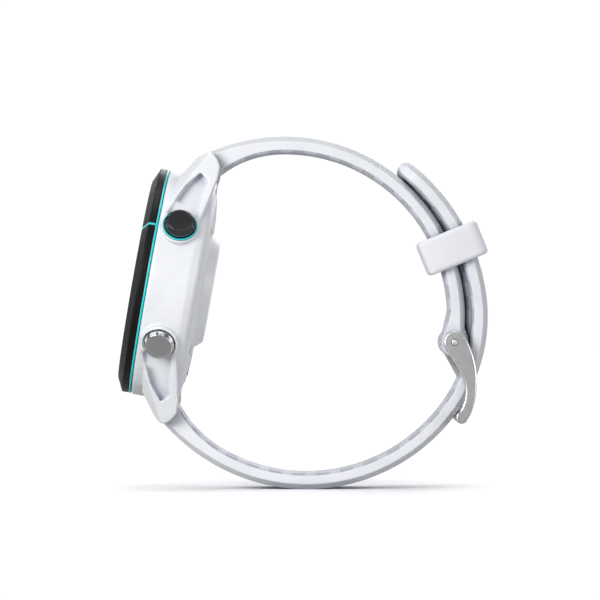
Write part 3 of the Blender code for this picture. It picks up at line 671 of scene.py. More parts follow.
class Blank:
    """A mesh in work, kept in a bmesh."""

    def __init__(self) -> None:
        """Starts an empty mesh."""
        self.mesh = bmesh.new()

    @classmethod
    def turned(cls, profile: Sequence[Point], steps: int = 96, closed: bool = False) -> "Blank":
        """Spins a profile of (radius, height) points round Z.

        Args:
            profile: Points in metres, in order.
            steps: Faces round the whole turn.
            closed: Whether the last point joins the first.

        Returns:
            The turned mesh.
        """
        blank = cls()
        row = [blank.mesh.verts.new((radius, 0.0, height)) for radius, height in profile]
        pairs = list(zip(row, row[1:]))
        if closed:
            pairs.append((row[-1], row[0]))
        edges = [blank.mesh.edges.new(pair) for pair in pairs]
        bmesh.ops.spin(
            blank.mesh, geom=row + edges, cent=(0, 0, 0), axis=(0, 0, 1), angle=math.tau,
            steps=steps, use_merge=True, use_duplicate=False,
        )
        bmesh.ops.remove_doubles(blank.mesh, verts=blank.mesh.verts, dist=0.0001 * MM)
        return blank.outward()

    @classmethod
    def plate(cls, outline: Sequence[Point], low: float, high: float) -> "Blank":
        """Extrudes an outline of the XZ plane along Y.

        Args:
            outline: Corners in metres, in order.
            low: Lowest Y.
            high: Highest Y.

        Returns:
            The extruded mesh.
        """
        blank = cls()
        ring = [blank.mesh.verts.new((across, low, upward)) for across, upward in outline]
        face = blank.mesh.faces.new(ring)
        result = bmesh.ops.extrude_face_region(blank.mesh, geom=[face])
        moved = [item for item in result["geom"] if isinstance(item, bmesh.types.BMVert)]
        bmesh.ops.translate(blank.mesh, verts=moved, vec=(0.0, high - low, 0.0))
        return blank.outward()

    @classmethod
    def block(cls, low: Sequence[float], high: Sequence[float]) -> "Blank":
        """Makes a box between two corners.

        Args:
            low: Lowest corner.
            high: Highest corner.

        Returns:
            The box.
        """
        blank = cls()
        size = Vector(high) - Vector(low)
        middle = (Vector(high) + Vector(low)) / 2
        shape = Matrix.Translation(middle) @ Matrix.Diagonal((*size, 1.0))
        bmesh.ops.create_cube(blank.mesh, size=1.0, matrix=shape)
        return blank

    @classmethod
    def rod(cls, radius: float, half: float, steps: int = 32) -> "Blank":
        """Makes a round rod along Y, with its middle on the origin.

        Args:
            radius: Its radius.
            half: Half its length.
            steps: Faces round it.

        Returns:
            The rod.
        """
        profile = [(0.0, half), (radius, half), (radius, -half), (0.0, -half)]
        return cls.turned(profile, steps).moved(Matrix.Rotation(math.pi / 2, 4, "X"))

    @classmethod
    def copy_of(cls, node: str) -> "Blank":
        """Copies a CAD node's mesh and merges its loose triangles.

        Args:
            node: The node's name.

        Returns:
            The merged copy.
        """
        blank = cls()
        blank.mesh.from_mesh(frame["nodes"][node].data)
        bmesh.ops.remove_doubles(blank.mesh, verts=blank.mesh.verts, dist=0.001 * MM)
        return blank

    def outward(self) -> "Blank":
        """Turns the faces outwards and returns the mesh."""
        bmesh.ops.recalc_face_normals(self.mesh, faces=self.mesh.faces)
        return self

    def moved(self, matrix: Matrix) -> "Blank":
        """Moves the mesh by a matrix and returns it."""
        bmesh.ops.transform(self.mesh, matrix=matrix, verts=self.mesh.verts)
        return self

    def along(self, axis: int) -> list[bmesh.types.BMEdge]:
        """Returns the edges that run along an axis: 0 for X, 1 for Y, 2 for Z."""
        ends = [(edge, edge.verts[0].co[axis], edge.verts[1].co[axis]) for edge in self.mesh.edges]
        return [edge for edge, first, last in ends if abs(first - last) > MM]

    def rims(self) -> list[bmesh.types.BMEdge]:
        """Returns the edges that lie square to Y, round a plate's two faces."""
        ends = [(edge, edge.verts[0].co.y, edge.verts[1].co.y) for edge in self.mesh.edges]
        return [edge for edge, first, last in ends if abs(first - last) < 0.1 * MM]

    def bevelled(self, width: float, segments: int = 3, angle: float = 30.0,
                 edges: Sequence[bmesh.types.BMEdge] | None = None, clamp: bool = True) -> "Blank":
        """Rounds edges.

        Args:
            width: Width of the bevel, in metres.
            segments: Faces across the bevel.
            angle: Edges that bend by more than this are taken, in degrees.
            edges: The edges to round, or None for all that bend.
            clamp: Whether short edges hold the width back.

        Returns:
            The mesh.
        """
        if edges is None:
            limit = math.radians(angle)
            closed = [edge for edge in self.mesh.edges if edge.is_manifold]
            edges = [edge for edge in closed if edge.calc_face_angle() > limit]
        bmesh.ops.bevel(
            self.mesh, geom=list(edges), offset=width, offset_type="OFFSET", affect="EDGES",
            segments=segments, profile=0.5, material=-1, clamp_overlap=clamp,
        )
        return self

    def temporary(self, name: str) -> bpy.types.Object:
        """Makes a scratch object that holds this mesh.

        Args:
            name: The object's name.

        Returns:
            The object.
        """
        data = bpy.data.meshes.new(name)
        self.mesh.to_mesh(data)
        item = bpy.data.objects.new(name, data)
        bpy.context.scene.collection.objects.link(item)
        return item

    def reshaped(self, item: bpy.types.Object, *others: bpy.types.Object) -> "Blank":
        """Takes the mesh that a scratch object's modifiers give, and removes the scratch objects.

        Args:
            item: Object whose modifiers are applied.
            *others: Objects that its modifiers used.

        Returns:
            The mesh.
        """
        bpy.context.view_layer.update()
        evaluated = item.evaluated_get(bpy.context.evaluated_depsgraph_get())
        result = bpy.data.meshes.new_from_object(evaluated)
        self.mesh.free()
        self.mesh = bmesh.new()
        self.mesh.from_mesh(result)
        bpy.data.meshes.remove(result)
        for scratch in (item, *others):
            data = scratch.data
            bpy.data.objects.remove(scratch)
            bpy.data.meshes.remove(data)
        return self

    def carved(self, cutters: Sequence["Blank"], operation: str = "DIFFERENCE") -> "Blank":
        """Cuts the mesh by others, or joins them to it.

        Args:
            cutters: The other meshes.
            operation: DIFFERENCE, UNION or INTERSECT.

        Returns:
            The mesh.
        """
        item = self.temporary("carved")
        group = bpy.data.collections.new("cutters")
        tools = []
        for cutter in cutters:
            tool = cutter.temporary("cutter")
            bpy.context.scene.collection.objects.unlink(tool)
            group.objects.link(tool)
            tools.append(tool)
        step = item.modifiers.new("carve", "BOOLEAN")
        step.operation = operation
        step.operand_type = "COLLECTION"
        step.collection = group
        self.reshaped(item, *tools)
        bpy.data.collections.remove(group)
        return self

    def softened(self, voxel: float, passes: int, share: float) -> "Blank":
        """Rounds every edge a little by remeshing finely and relaxing the surface.

        Args:
            voxel: Size of the remesh's cells, in metres.
            passes: Number of smoothing passes.
            share: Share of the faces that is kept.

        Returns:
            The mesh.
        """
        item = self.temporary("softened")
        remesh = item.modifiers.new("remesh", "REMESH")
        remesh.mode = "VOXEL"
        remesh.voxel_size = voxel
        relax = item.modifiers.new("relax", "SMOOTH")
        relax.factor = 0.5
        relax.iterations = passes
        thin = item.modifiers.new("thin", "DECIMATE")
        thin.ratio = share
        return self.reshaped(item)

    def painted(self, index: int, chosen: Callable[[bmesh.types.BMFace], bool]) -> "Blank":
        """Gives the faces that a test picks another material.

        Args:
            index: Number of the material among the piece's finishes.
            chosen: Function of a face that says whether it is picked.

        Returns:
            The mesh.
        """
        for face in self.mesh.faces:
            if chosen(face):
                face.material_index = index
        return self

    def issue(self, name: str, finishes: Sequence[Finish], slot: Slot, body: str = ROOT,
              replaces: Sequence[str] = (), sharp: float = 32.0) -> bpy.types.Object:
        """Makes the mesh a piece of the watch.

        Args:
            name: The piece's name.
            finishes: Its finishes, by material index.
            slot: The record's slot of the piece; not used.
            body: The CAD body that it rides on.
            replaces: The CAD nodes that it stands for.
            sharp: Edges that bend by more than this stay sharp, in degrees.

        Returns:
            The piece's object.
        """
        data = bpy.data.meshes.new(name)
        self.mesh.to_mesh(data)
        self.mesh.free()
        data.shade_smooth()
        data.set_sharp_from_angle(angle=math.radians(sharp))
        for finish in finishes:
            data.materials.append(finish.material())
        piece = bpy.data.objects.new(name, data)
        bpy.context.scene.collection.objects.link(piece)
        even = piece.modifiers.new("even", "WEIGHTED_NORMAL")
        even.keep_sharp = True
        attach(piece, body)
        if replaces:
            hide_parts(*replaces)
        LOG.info("%s: %d faces, rides on %s", name, len(data.polygons), body)
        return piece


# ---------------------------------------------------------------------------------- watch head


@dataclass
class CaseHead:
    """The case with its lugs, and the rear cover with the sensor's plinth."""

    voxel: float = 0.15 * MM
    passes: int = 20
    kept: float = 0.3                       # share of the faces that stays after softening
    cover_r: float = 18.9 * MM
    foot_r: float = 10.6 * MM
    plinth_r: float = 9.3 * MM
    window_r: float = 6.28 * MM
    face: float = 1.6 * MM
    wall: float = 1.1 * MM
    top: float = 3.72 * MM
    screw_circle: float = 15.6 * MM
    port_x: float = -13.8 * MM
    port_half: Point = (2.1 * MM, 3.1 * MM)
    port_corner: float = 0.8 * MM
    bar_hole_r: float = 0.55 * MM
    bar_hole_half: float = 10.6 * MM

    def build(self) -> None:
        """Builds the case, the cover and the window."""
        self.case()
        self.cover()
        self.window()

    def case(self) -> bpy.types.Object:
        """Builds the case, with a sloped lower rim and every edge softly rounded.

        Returns:
            The case's object.
        """
        rim = mm([
            (18.97, 4.6), (20.8, 4.6), (20.85, 3.9), (20.5, 3.0), (19.9, 2.45), (19.3, 2.25), (18.97, 2.35),
        ])
        ring = Blank.turned(rim, 144, closed=True).moved(HEAD)
        blank = Blank.copy_of("middle_case").carved([ring], "UNION")
        blank.softened(self.voxel, self.passes, self.kept)
        # the holes for the spring bars' tips come last, since softening narrows them
        hole = (self.bar_hole_r, self.bar_hole_half)
        blank.carved([Blank.rod(*hole).moved(bar_place(end)) for end in (1, -1)])
        return blank.issue("case_shell", [WHITE_MOULDING], Slot.CASE, replaces=["middle_case"], sharp=60.0)

    def cover(self) -> bpy.types.Object:
        """Builds the rear cover with its screw holes and its charging port.

        Returns:
            The cover's object.
        """
        wall, face = self.wall, self.face
        inner_r = 17.3 * MM
        lip_r, lip_top = 18.3 * MM, self.top + 0.76 * MM
        outline = [
            (lip_r, lip_top), (lip_r, self.top), (self.cover_r, self.top), *mm([(18.4, 2.5), (17.0, 1.9)]),
            (14.0 * MM, face), (self.foot_r, face), (self.plinth_r, 0.0), (self.window_r, 0.0),
            (self.window_r, wall), (self.plinth_r - 0.6 * MM, wall), (self.foot_r, face + wall),
            (inner_r, face + wall), (inner_r, lip_top),
        ]
        radii = lengths(0.1, 0.0, 0.12, 0.6, 1.0, 1.5, 0.5, 0.45, 0.08, 0.1, 0.3, 0.3, 0.2, 0.1)
        cover = Blank.turned(fillet(outline, radii), 128, closed=True)
        half_x, half_y = self.port_half
        port = Blank.block((self.port_x - half_x, -half_y, -MM), (self.port_x + half_x, half_y, 6 * MM))
        cutters = [port.bevelled(self.port_corner, 5, edges=port.along(2))]
        hole = mm([(0.0, 6.0), (0.95, 6.0), (0.95, 1.95), (1.1, 1.7), (1.1, -1.0), (0.0, -1.0)])
        for index in range(4):
            x, y = polar((0, 0), self.screw_circle, 45 + 90 * index)
            cutters.append(Blank.turned(hole, 32).moved(Matrix.Translation((x, y, 0))))
        cover.carved(cutters).moved(HEAD)
        return cover.issue("rear_cover_shell", [LIGHTENED_WHITE_COVER], Slot.COVER, replaces=["back_cover"])

    def window(self) -> bpy.types.Object:
        """Builds the sensor's window, with a ground edge.

        Returns:
            The window's object.
        """
        outline = mm([(0.0, 0.9), (6.18, 0.9), (6.18, 0.0), (0.0, 0.0)])
        radii = lengths(0.0, 0.1, 0.15, 0.0)
        blank = Blank.turned(fillet(outline, radii, closed=False), 96).moved(HEAD)
        return blank.issue("sensor_glass_window", [SENSOR_GLASS], Slot.SENSOR, replaces=["sensor_window"])


@dataclass
class Glazing:
    """Lens, bezel, turquoise ring and start marker."""

    lens_r: float = 17.7 * MM
    lens_top: float = 14.0 * MM
    rim_r: float = 18.4 * MM
    bezel_r: float = 20.85 * MM
    bezel_top: float = 14.2 * MM
    slope_foot: float = 13.05 * MM
    bezel_low: float = 11.86 * MM
    marker_half: float = 0.2 * MM
    seam: float = 0.05 * MM

    def build(self) -> None:
        """Builds the four pieces."""
        outward = -Vector(joint("start_press")["axis"])
        local = HEAD.inverted().to_3x3() @ outward
        turn = Matrix.Rotation(math.atan2(local.y, local.x), 4, "Z")
        self.lens()
        self.bezel(turn)
        self.marker(turn)
        self.accent()

    def lens(self) -> bpy.types.Object:
        """Builds the flat lens with its ground edge.

        Returns:
            The lens's object.
        """
        radius, top, low = self.lens_r, self.lens_top, 13.0 * MM
        outline = [(0.0, top), (radius, top), (radius, low), (0.0, low)]
        radii = lengths(0.0, 0.25, 0.1, 0.0)
        blank = Blank.turned(fillet(outline, radii, closed=False), 128).moved(HEAD)
        return blank.issue("lens_glass", [LENS_GLASS], Slot.LENS, replaces=["lens"])

    def slope(self) -> list[Point]:
        """Returns the bezel's outer outline, from the rim down to the seat."""
        return [
            (17.95 * MM, self.bezel_top), (self.rim_r, self.bezel_top), (self.bezel_r, self.slope_foot),
            (self.bezel_r, self.bezel_low),
        ]

    def bezel(self, turn: Matrix) -> bpy.types.Object:
        """Builds the sloped ring, with a groove for the marker.

        Args:
            turn: Rotation about the head's Z to the START button.

        Returns:
            The bezel's object.
        """
        seat_r = self.lens_r + self.seam
        outline = self.slope() + [
            (16.9 * MM, self.bezel_low), (16.9 * MM, 12.9 * MM), (seat_r, 12.9 * MM), (seat_r, 13.9 * MM),
        ]
        radii = lengths(0.08, 0.3, 0.35, 0.22, 0.1, 0.1, 0.05, 0.05)
        bezel = Blank.turned(fillet(outline, radii), 144, closed=True)
        half = self.marker_half + self.seam
        groove = Blank.block((18.1 * MM, -half, 11.0 * MM), (22 * MM, half, 15 * MM)).moved(turn)
        bezel.carved([groove]).moved(HEAD)
        return bezel.issue("bezel_ring", [BLACK_MOULDING], Slot.BEZEL, replaces=["bezel"])

    def marker(self, turn: Matrix) -> bpy.types.Object:
        """Builds the turquoise inlay across the bezel.

        Args:
            turn: Rotation about the head's Z to the START button.

        Returns:
            The marker's object.
        """
        inner_r, low = 18.2 * MM, self.bezel_low
        outline = [(inner_r, low), (inner_r, self.bezel_top), *self.slope()[1:3], (self.bezel_r, low)]
        outline = fillet(outline, lengths(0.0, 0.0, 0.3, 0.35, 0.0))
        blank = Blank.plate(outline, -self.marker_half, self.marker_half).moved(turn).moved(HEAD)
        return blank.issue("start_inlay", [TURQUOISE], Slot.ACCENT, replaces=["start_marker"])

    def accent(self) -> bpy.types.Object:
        """Builds the thin turquoise ring between bezel and case.

        Returns:
            The ring's object.
        """
        outline = mm([(19.2, 11.8), (20.9, 11.8), (20.9, 11.46), (19.2, 11.46)])
        blank = Blank.turned(fillet(outline, 0.08 * MM, 3), 144, closed=True).moved(HEAD)
        return blank.issue("accent_band", [TURQUOISE], Slot.ACCENT, replaces=["accent_ring"])


@dataclass
class ButtonSet:
    """The five buttons and the turquoise ring round START."""

    height: float = 7.45 * MM
    face_r: float = 2.44 * MM
    dark_face_r: float = 2.22 * MM
    base_r: float = 2.8 * MM
    stem_r: float = 0.85 * MM
    base: float = 20.95 * MM
    stem: float = 17.6 * MM
    dish: float = 0.06 * MM                 # how far the face is sunk inside its edge
    slope: float = 0.75 * MM                # height of the polished slope
    names: tuple[str, ...] = ("start", "back", "light", "up", "down")

    def place(self, name: str) -> tuple[Matrix, Vector]:
        """Finds a button's place from its joint.

        Args:
            name: The button's name.

        Returns:
            The matrix that lays Z along the button's axis, and that axis, outwards.
        """
        outward = -Vector(joint(f"{name}_press")["axis"])
        spot = Matrix.Translation(DIAL_AXIS * self.height)
        return spot @ outward.to_track_quat("Z", "Y").to_matrix().to_4x4(), outward

    def build(self) -> None:
        """Builds every button and the ring."""
        for name in self.names:
            self.cap(name)
        self.ring()

    def cap(self, name: str) -> bpy.types.Object:
        """Builds a button: satin face, polished slope, side and stem.

        Args:
            name: The button's name.

        Returns:
            The button's object.
        """
        matrix, outward = self.place(name)
        face = reach(f"{name}_button", outward)
        dark = name == "start"
        face_r = self.dark_face_r if dark else self.face_r
        sunk = face - self.dish
        outline = [
            (0.0, sunk), (face_r - 0.35 * MM, sunk), (face_r - 0.2 * MM, face), (face_r, face),
            (self.base_r, face - self.slope), (self.base_r, self.base),
            (self.stem_r, self.base), (self.stem_r, self.stem), (0.0, self.stem),
        ]
        radii = lengths(0.0, 0.1, 0.05, 0.08, 0.12, 0.5, 0.1, 0.1, 0.0)
        blank = Blank.turned(fillet(outline, radii, 4, False), 80)
        edge = face_r - 0.07 * MM
        blank.painted(1, lambda patch: patch.calc_center_median().xy.length > edge).moved(matrix)
        finishes = [BLACK_SATIN, BLACK_RIM] if dark else [BUTTON_SATIN, BUTTON_RIM]
        slot = Slot.BUTTON_BLACK if dark else Slot.BUTTON
        body = joint(f"{name}_press")["child"]
        return blank.issue(f"{name}_cap", finishes, slot, body, [f"{name}_button"])

    def ring(self) -> bpy.types.Object:
        """Builds the ring on START's seat.

        Returns:
            The ring's object.
        """
        matrix, outward = self.place("start")
        top = reach("start_accent", outward)
        low = top - 0.34 * MM
        inner, outer = self.base_r + 0.12 * MM, 3.14 * MM
        outline = [(inner, top), (outer, top), (outer, low), (inner, low)]
        blank = Blank.turned(fillet(outline, 0.08 * MM, 3), 80, closed=True).moved(matrix)
        return blank.issue("start_ring", [TURQUOISE], Slot.ACCENT, replaces=["start_accent"])


# --------------------------------------------------------------------------------------- strap


@dataclass
class Station:
    """One cross-section of a strap: a point on each face, half its width and its inner rib."""

    outer: Point
    inner: Point
    half: float
    rib: float = 0.0


@dataclass
class Strap:
    """Both halves of the silicone strap."""

    half: float = 9.0 * MM
    thick: float = 2.9 * MM
    slope: Point = (1.35 * MM, 0.93 * MM)      # width and height of the outer bevel
    relief: float = 0.5 * MM                   # size of the inner bevel
    upper_outer: float = 32.95 * MM
    lower_centre: Point = (17.53 * MM, -2.02 * MM)
    lower_outer: float = 34.05 * MM
    catch_outer: float = 30.1 * MM
    tail_outer: float = 36.6 * MM
    end_x: float = 21.35 * MM
    end_z: Point = (2.4 * MM, 8.3 * MM)
    lug_raise: float = 0.3 * MM
    boss_r: float = 2.7 * MM
    tunnel_r: float = 0.9 * MM
    pin_bore_r: float = 0.75 * MM
    bore_half: float = 12.0 * MM               # bores run right through
    step: float = 2.0
    corner_steps: int = 4
    rib_half: float = 6.4 * MM
    rib_slope: float = 0.7 * MM
    softness: float = 0.3 * MM                 # radius of the section's corners
    hole_half: float = 1.15 * MM
    hole_corner: float = 0.55 * MM
    hole_lip: float = 0.25 * MM                # depth at which a hole starts to widen
    hole_flare: float = 0.42

    def build(self) -> None:
        """Builds both halves."""
        self.upper()
        self.lower()

    def section(self, station: Station) -> list[Point]:
        """Draws the closed cross-section.

        Args:
            station: The cross-section's place.

        Returns:
            Points of the outline, each its y and its depth below the outer face.
        """
        width, height = self.slope
        relief, thick, half = self.relief, self.thick, station.half
        rib_y = min(self.rib_half, half - width)
        right = [
            (half - width, 0.0), (half, height), (half, thick - relief), (half - relief, thick),
            (rib_y + self.rib_slope, thick), (rib_y, thick + station.rib),
        ]
        left = [(-y, depth) for y, depth in reversed(right)]
        return even_fillet(right + left, [self.softness] * len(right + left), self.corner_steps)

    def place(self, station: Station, y: float, depth: float) -> Vector:
        """Finds a section's point in space.

        Args:
            station: The cross-section's place.
            y: Distance across the strap.
            depth: Depth below the outer face on a strap of full thickness.

        Returns:
            The point, with both bevels kept whole where the strap is thicker.
        """
        outer, inner = Vector(station.outer), Vector(station.inner)
        span = (inner - outer).length
        if span < self.thick:
            depth *= span / self.thick
        elif depth > self.thick / 2:
            depth += span - self.thick
        spot = outer + (inner - outer) * (depth / span)
        return Vector((spot.x, y, spot.y))

    def lofted(self, stations: Sequence[Station]) -> Blank:
        """Extrudes the cross-section from station to station and closes both ends.

        Args:
            stations: The cross-sections, in order.

        Returns:
            The strap's mesh, with its outer bevels and its inner face painted apart.
        """
        blank = Blank()
        work = blank.mesh
        points = self.section(stations[0])
        ring = [work.verts.new(self.place(stations[0], y, depth)) for y, depth in points]
        edges = [work.edges.new(pair) for pair in zip(ring, ring[1:] + ring[:1])]
        first = ring
        for station in stations[1:]:
            grown = bmesh.ops.extrude_edge_only(work, edges=edges)["geom"]
            edges = [item for item in grown if isinstance(item, bmesh.types.BMEdge)]
            loop = {vert for edge in edges for vert in edge.verts}
            following = []
            for vert in ring:
                partners = (edge.other_vert(vert) for edge in vert.link_edges)
                following.append(next(partner for partner in partners if partner in loop))
            for vert, (y, depth) in zip(following, self.section(station)):
                vert.co = self.place(station, y, depth)
            edges = [work.edges.get(pair) for pair in zip(following, following[1:] + following[:1])]
            self.paint(work, ring, following)
            ring = following
        work.faces.new(first)
        work.faces.new(ring)
        blank.outward()
        return blank

    def paint(self, work: bmesh.types.BMesh, ring: Sequence[bmesh.types.BMVert],
              following: Sequence[bmesh.types.BMVert]) -> None:
        """Gives the outer bevels and the inner side their own finishes, darker silicone with painted shade.

        Args:
            work: The strap's mesh.
            ring: Vertices of one cross-section.
            following: Vertices of the next one.
        """
        corners = len(ring) // (self.corner_steps + 1)
        for index, vert in enumerate(ring):
            corner, within = divmod(index, self.corner_steps + 1)
            flat = within == self.corner_steps
            if flat and corner in (0, corners - 2):
                number = 1
            elif 3 <= corner <= corners - 4 or (corner == 2 and flat):
                number = 2
            else:
                continue
            edge = work.edges.get((vert, ring[(index + 1) % len(ring)]))
            for face in edge.link_faces:
                if following[index] in face.verts:
                    face.material_index = number

    def finished(self, blank: Blank, name: str, node: str) -> bpy.types.Object:
        """Makes a strap's mesh a piece that stands for a CAD node."""
        finishes = [SILICONE, SHADED_RIBBED_SILICONE, SHADED_INNER_SILICONE]
        return blank.issue(name, finishes, Slot.SILICONE, replaces=[node], sharp=40.0)

    def lug_stations(self, end: int, centre: Point, outer_r: float, start: float,
                     merge: float) -> list[Station]:
        """Makes the stations between two lugs, where the strap is thicker.

        Args:
            end: 1 at 12 o'clock, -1 at 6 o'clock.
            centre: Centre of the strap's arc.
            outer_r: Radius of its outer face.
            start: Angle at which the outer face leaves the lugs.
            merge: Angle at which the strap has its own thickness.

        Returns:
            The stations, from the case outwards.
        """
        low, high = self.end_z
        inner_end = Vector(head_to_side(end * self.end_x, low)) - Vector(centre)
        thin_r = outer_r - self.thick
        angle_0 = math.degrees(math.atan2(inner_end.y, inner_end.x)) % 360
        excess = inner_end.length - thin_r
        outer_end = head_to_side(end * self.end_x, high)
        stations = [Station(outer_end, polar(centre, inner_end.length, angle_0), self.half)]
        count = 14
        for index in range(1, count):
            share = index / count
            fade = (1 - share) ** 2
            outer = polar(centre, outer_r + self.lug_raise * fade, start + (merge - start) * share)
            inner = polar(centre, thin_r + excess * fade, angle_0 + (merge - angle_0) * share)
            stations.append(Station(outer, inner, self.half))
        return stations

    def arc_stations(self, centre: Point, outer_r: float, start: float, end: float) -> list[Station]:
        """Makes stations of full thickness along one arc.

        Args:
            centre: Centre of the arc.
            outer_r: Radius of the outer face.
            start: First angle in degrees.
            end: Last angle in degrees.

        Returns:
            The stations, from start to end.
        """
        outer = arc(centre, outer_r, start, end, self.step)
        inner = arc(centre, outer_r - self.thick, start, end, self.step)
        return [Station(a, b, self.half) for a, b in zip(outer, inner)]

    def bar_cutters(self, end: int) -> list[Blank]:
        """Makes the cutters for a spring bar's tunnel and its release knob's slot.

        Args:
            end: 1 at 12 o'clock, -1 at 6 o'clock.

        Returns:
            The two cutters.
        """
        x, z = BAR
        tunnel = Blank.rod(self.tunnel_r, self.bore_half).moved(bar_place(end))
        low, high = sorted((end * (x - MM), end * (x + MM)))
        slot = Blank.block((low, 4.0 * MM, -3 * MM), (high, 7.6 * MM, z))
        return [tunnel, slot.bevelled(0.6 * MM, 4, edges=slot.along(2)).moved(HEAD)]

    def hole(self, centre: Point, radius: float, angle: float, length: float = 1.5 * MM) -> Blank:
        """Makes the cutter of a slot through the strap, flared where it meets both faces.

        Args:
            centre: Centre of the strap's arc.
            radius: Radius to the strap's middle.
            angle: Angle of the slot round the centre.
            length: Half its length along the strap.

        Returns:
            The cutter.
        """
        half, depth = self.hole_half, 3.0 * MM
        flare = self.hole_flare / (half + length)
        cutter = Blank.block((-depth, -half, -length), (depth, half, length))
        cutter.bevelled(self.hole_corner, 5, edges=cutter.along(0))
        edge_at = self.thick / 2 - self.hole_lip
        for plane in (edge_at, -edge_at):
            bmesh.ops.bisect_plane(
                cutter.mesh, geom=cutter.mesh.verts[:] + cutter.mesh.edges[:] + cutter.mesh.faces[:],
                plane_co=(plane, 0, 0), plane_no=(1, 0, 0),
            )
        for vert in cutter.mesh.verts:
            if abs(vert.co.x) > edge_at + 0.1 * MM:
                grow = 1 + flare * (abs(vert.co.x) - edge_at)
                vert.co.y *= grow
                vert.co.z *= grow
        x, z = polar(centre, radius, angle)
        turn = Matrix.Rotation(-math.radians(angle), 4, "Y")
        return cutter.moved(Matrix.Translation((x, 0, z)) @ turn)

    def upper(self) -> bpy.types.Object:
        """Builds the 12 o'clock half, which ends in the buckle's boss.

        Returns:
            The strap's object.
        """
        start, merge, end = 121.0, 92.0, 2.0
        stations = self.lug_stations(1, UPPER_CENTRE, self.upper_outer, start, merge)
        stations += self.arc_stations(UPPER_CENTRE, self.upper_outer, merge, end)
        last = stations[-1]
        shoulder = [polar(PIN, self.boss_r, angle) for angle in (45, 135)]
        for share in (0.35, 0.7):
            eased = share * share * (3 - 2 * share)
            outer = blend(last.outer, shoulder[0], share)
            inner = blend(last.inner, shoulder[1], 0.5 * (share + eased))
            stations.append(Station(outer, inner, self.half))
        for angle in range(0, 131, 8):
            outer = polar(PIN, self.boss_r, 45 - angle)
            inner = polar(PIN, self.boss_r, 135 + angle)
            stations.append(Station(outer, inner, self.half))
        strap = self.lofted(stations)
        at_pin = Matrix.Translation((PIN[0], 0, PIN[1]))
        bore = Blank.rod(self.pin_bore_r, self.bore_half).moved(at_pin)
        low, high = mm([(-4.0, -1.2, -4.0), (4.0, 1.2, 2.0)])
        slot = Blank.block(low, high).moved(at_pin)
        strap.carved([bore, slot, *self.bar_cutters(1)])
        return self.finished(strap, "upper_strap_silicone", "upper_strap")

    def lower(self) -> bpy.types.Object:
        """Builds the 6 o'clock half, which runs through the buckle to its tail.

        Returns:
            The strap's object.
        """
        start, merge = 212.5, 242.0
        bend, tail_from, tail_end = -38.0, 8.0, 52.0
        catch = polar(self.lower_centre, self.lower_outer - self.catch_outer, bend)
        tail = polar(catch, self.catch_outer - self.tail_outer, tail_from)
        stations = self.lug_stations(-1, self.lower_centre, self.lower_outer, start, merge)
        stations += self.arc_stations(self.lower_centre, self.lower_outer, merge, 360 + bend)
        stations += self.arc_stations(catch, self.catch_outer, bend, tail_from)[1:]
        stations += self.arc_stations(tail, self.tail_outer, tail_from, tail_end - 6)[1:]
        stations += self.tail_tip(tail, tail_end)
        above_pin = [station for station in stations if station.inner[1] > PIN[1]]
        self.add_rib([station for station in above_pin if station.inner[0] > UPPER_CENTRE[0]])
        strap = self.lofted(stations)
        cutters = self.bar_cutters(-1)
        middle = self.thick / 2
        for index in range(4):
            length = (2.15 if index == 0 else 1.5) * MM
            angle = -27.0 - 9.0 * index
            cutters.append(self.hole(self.lower_centre, self.lower_outer - middle, angle, length))
        for index in range(3):
            cutters.append(self.hole(catch, self.catch_outer - middle, -19.0 + 10.0 * index))
        for index in range(4):
            cutters.append(self.hole(tail, self.tail_outer - middle, 14.0 + 8.5 * index))
        strap.carved(cutters)
        return self.finished(strap, "lower_strap_silicone", "lower_strap")

    def add_rib(self, stations: Sequence[Station]) -> None:
        """Raises the rib that keeps the tail just off the strap under it.

        Args:
            stations: The stations over the upper strap, in order.
        """
        rest = 0.2 * MM
        for index, station in enumerate(stations):
            spot = Vector(station.inner)
            strap_gap = (spot - Vector(UPPER_CENTRE)).length - self.upper_outer
            boss_gap = (spot - Vector(PIN)).length - self.boss_r
            ramp = min(1.0, (len(stations) - 1 - index) / 6)
            station.rib = min(max(0.0, min(strap_gap, boss_gap) - rest), 1.05 * MM) * ramp

    def tail_tip(self, centre: Point, end: float) -> list[Station]:
        """Rounds the tail's end in both views.

        Args:
            centre: Centre of the tail's arc.
            end: Angle at which its straight part ends.

        Returns:
            The stations of the tip.
        """
        corner, half_thick = 4.5 * MM, self.thick / 2
        middle_r = self.tail_outer - half_thick
        back = math.degrees((corner - half_thick) / middle_r)
        stations = []
        for index in range(15):
            turn = math.radians(6 * index)
            ahead = corner * math.sin(turn)
            half = self.half - corner * (1 - math.cos(turn))
            angle = end - back + math.degrees(ahead / middle_r)
            past = max(0.0, ahead - (corner - half_thick)) / half_thick
            thin = half_thick * math.sqrt(max(0.02, 1 - past * past))
            outer, inner = (polar(centre, middle_r + side * thin, angle) for side in (1, -1))
            stations.append(Station(outer, inner, half))
        return stations


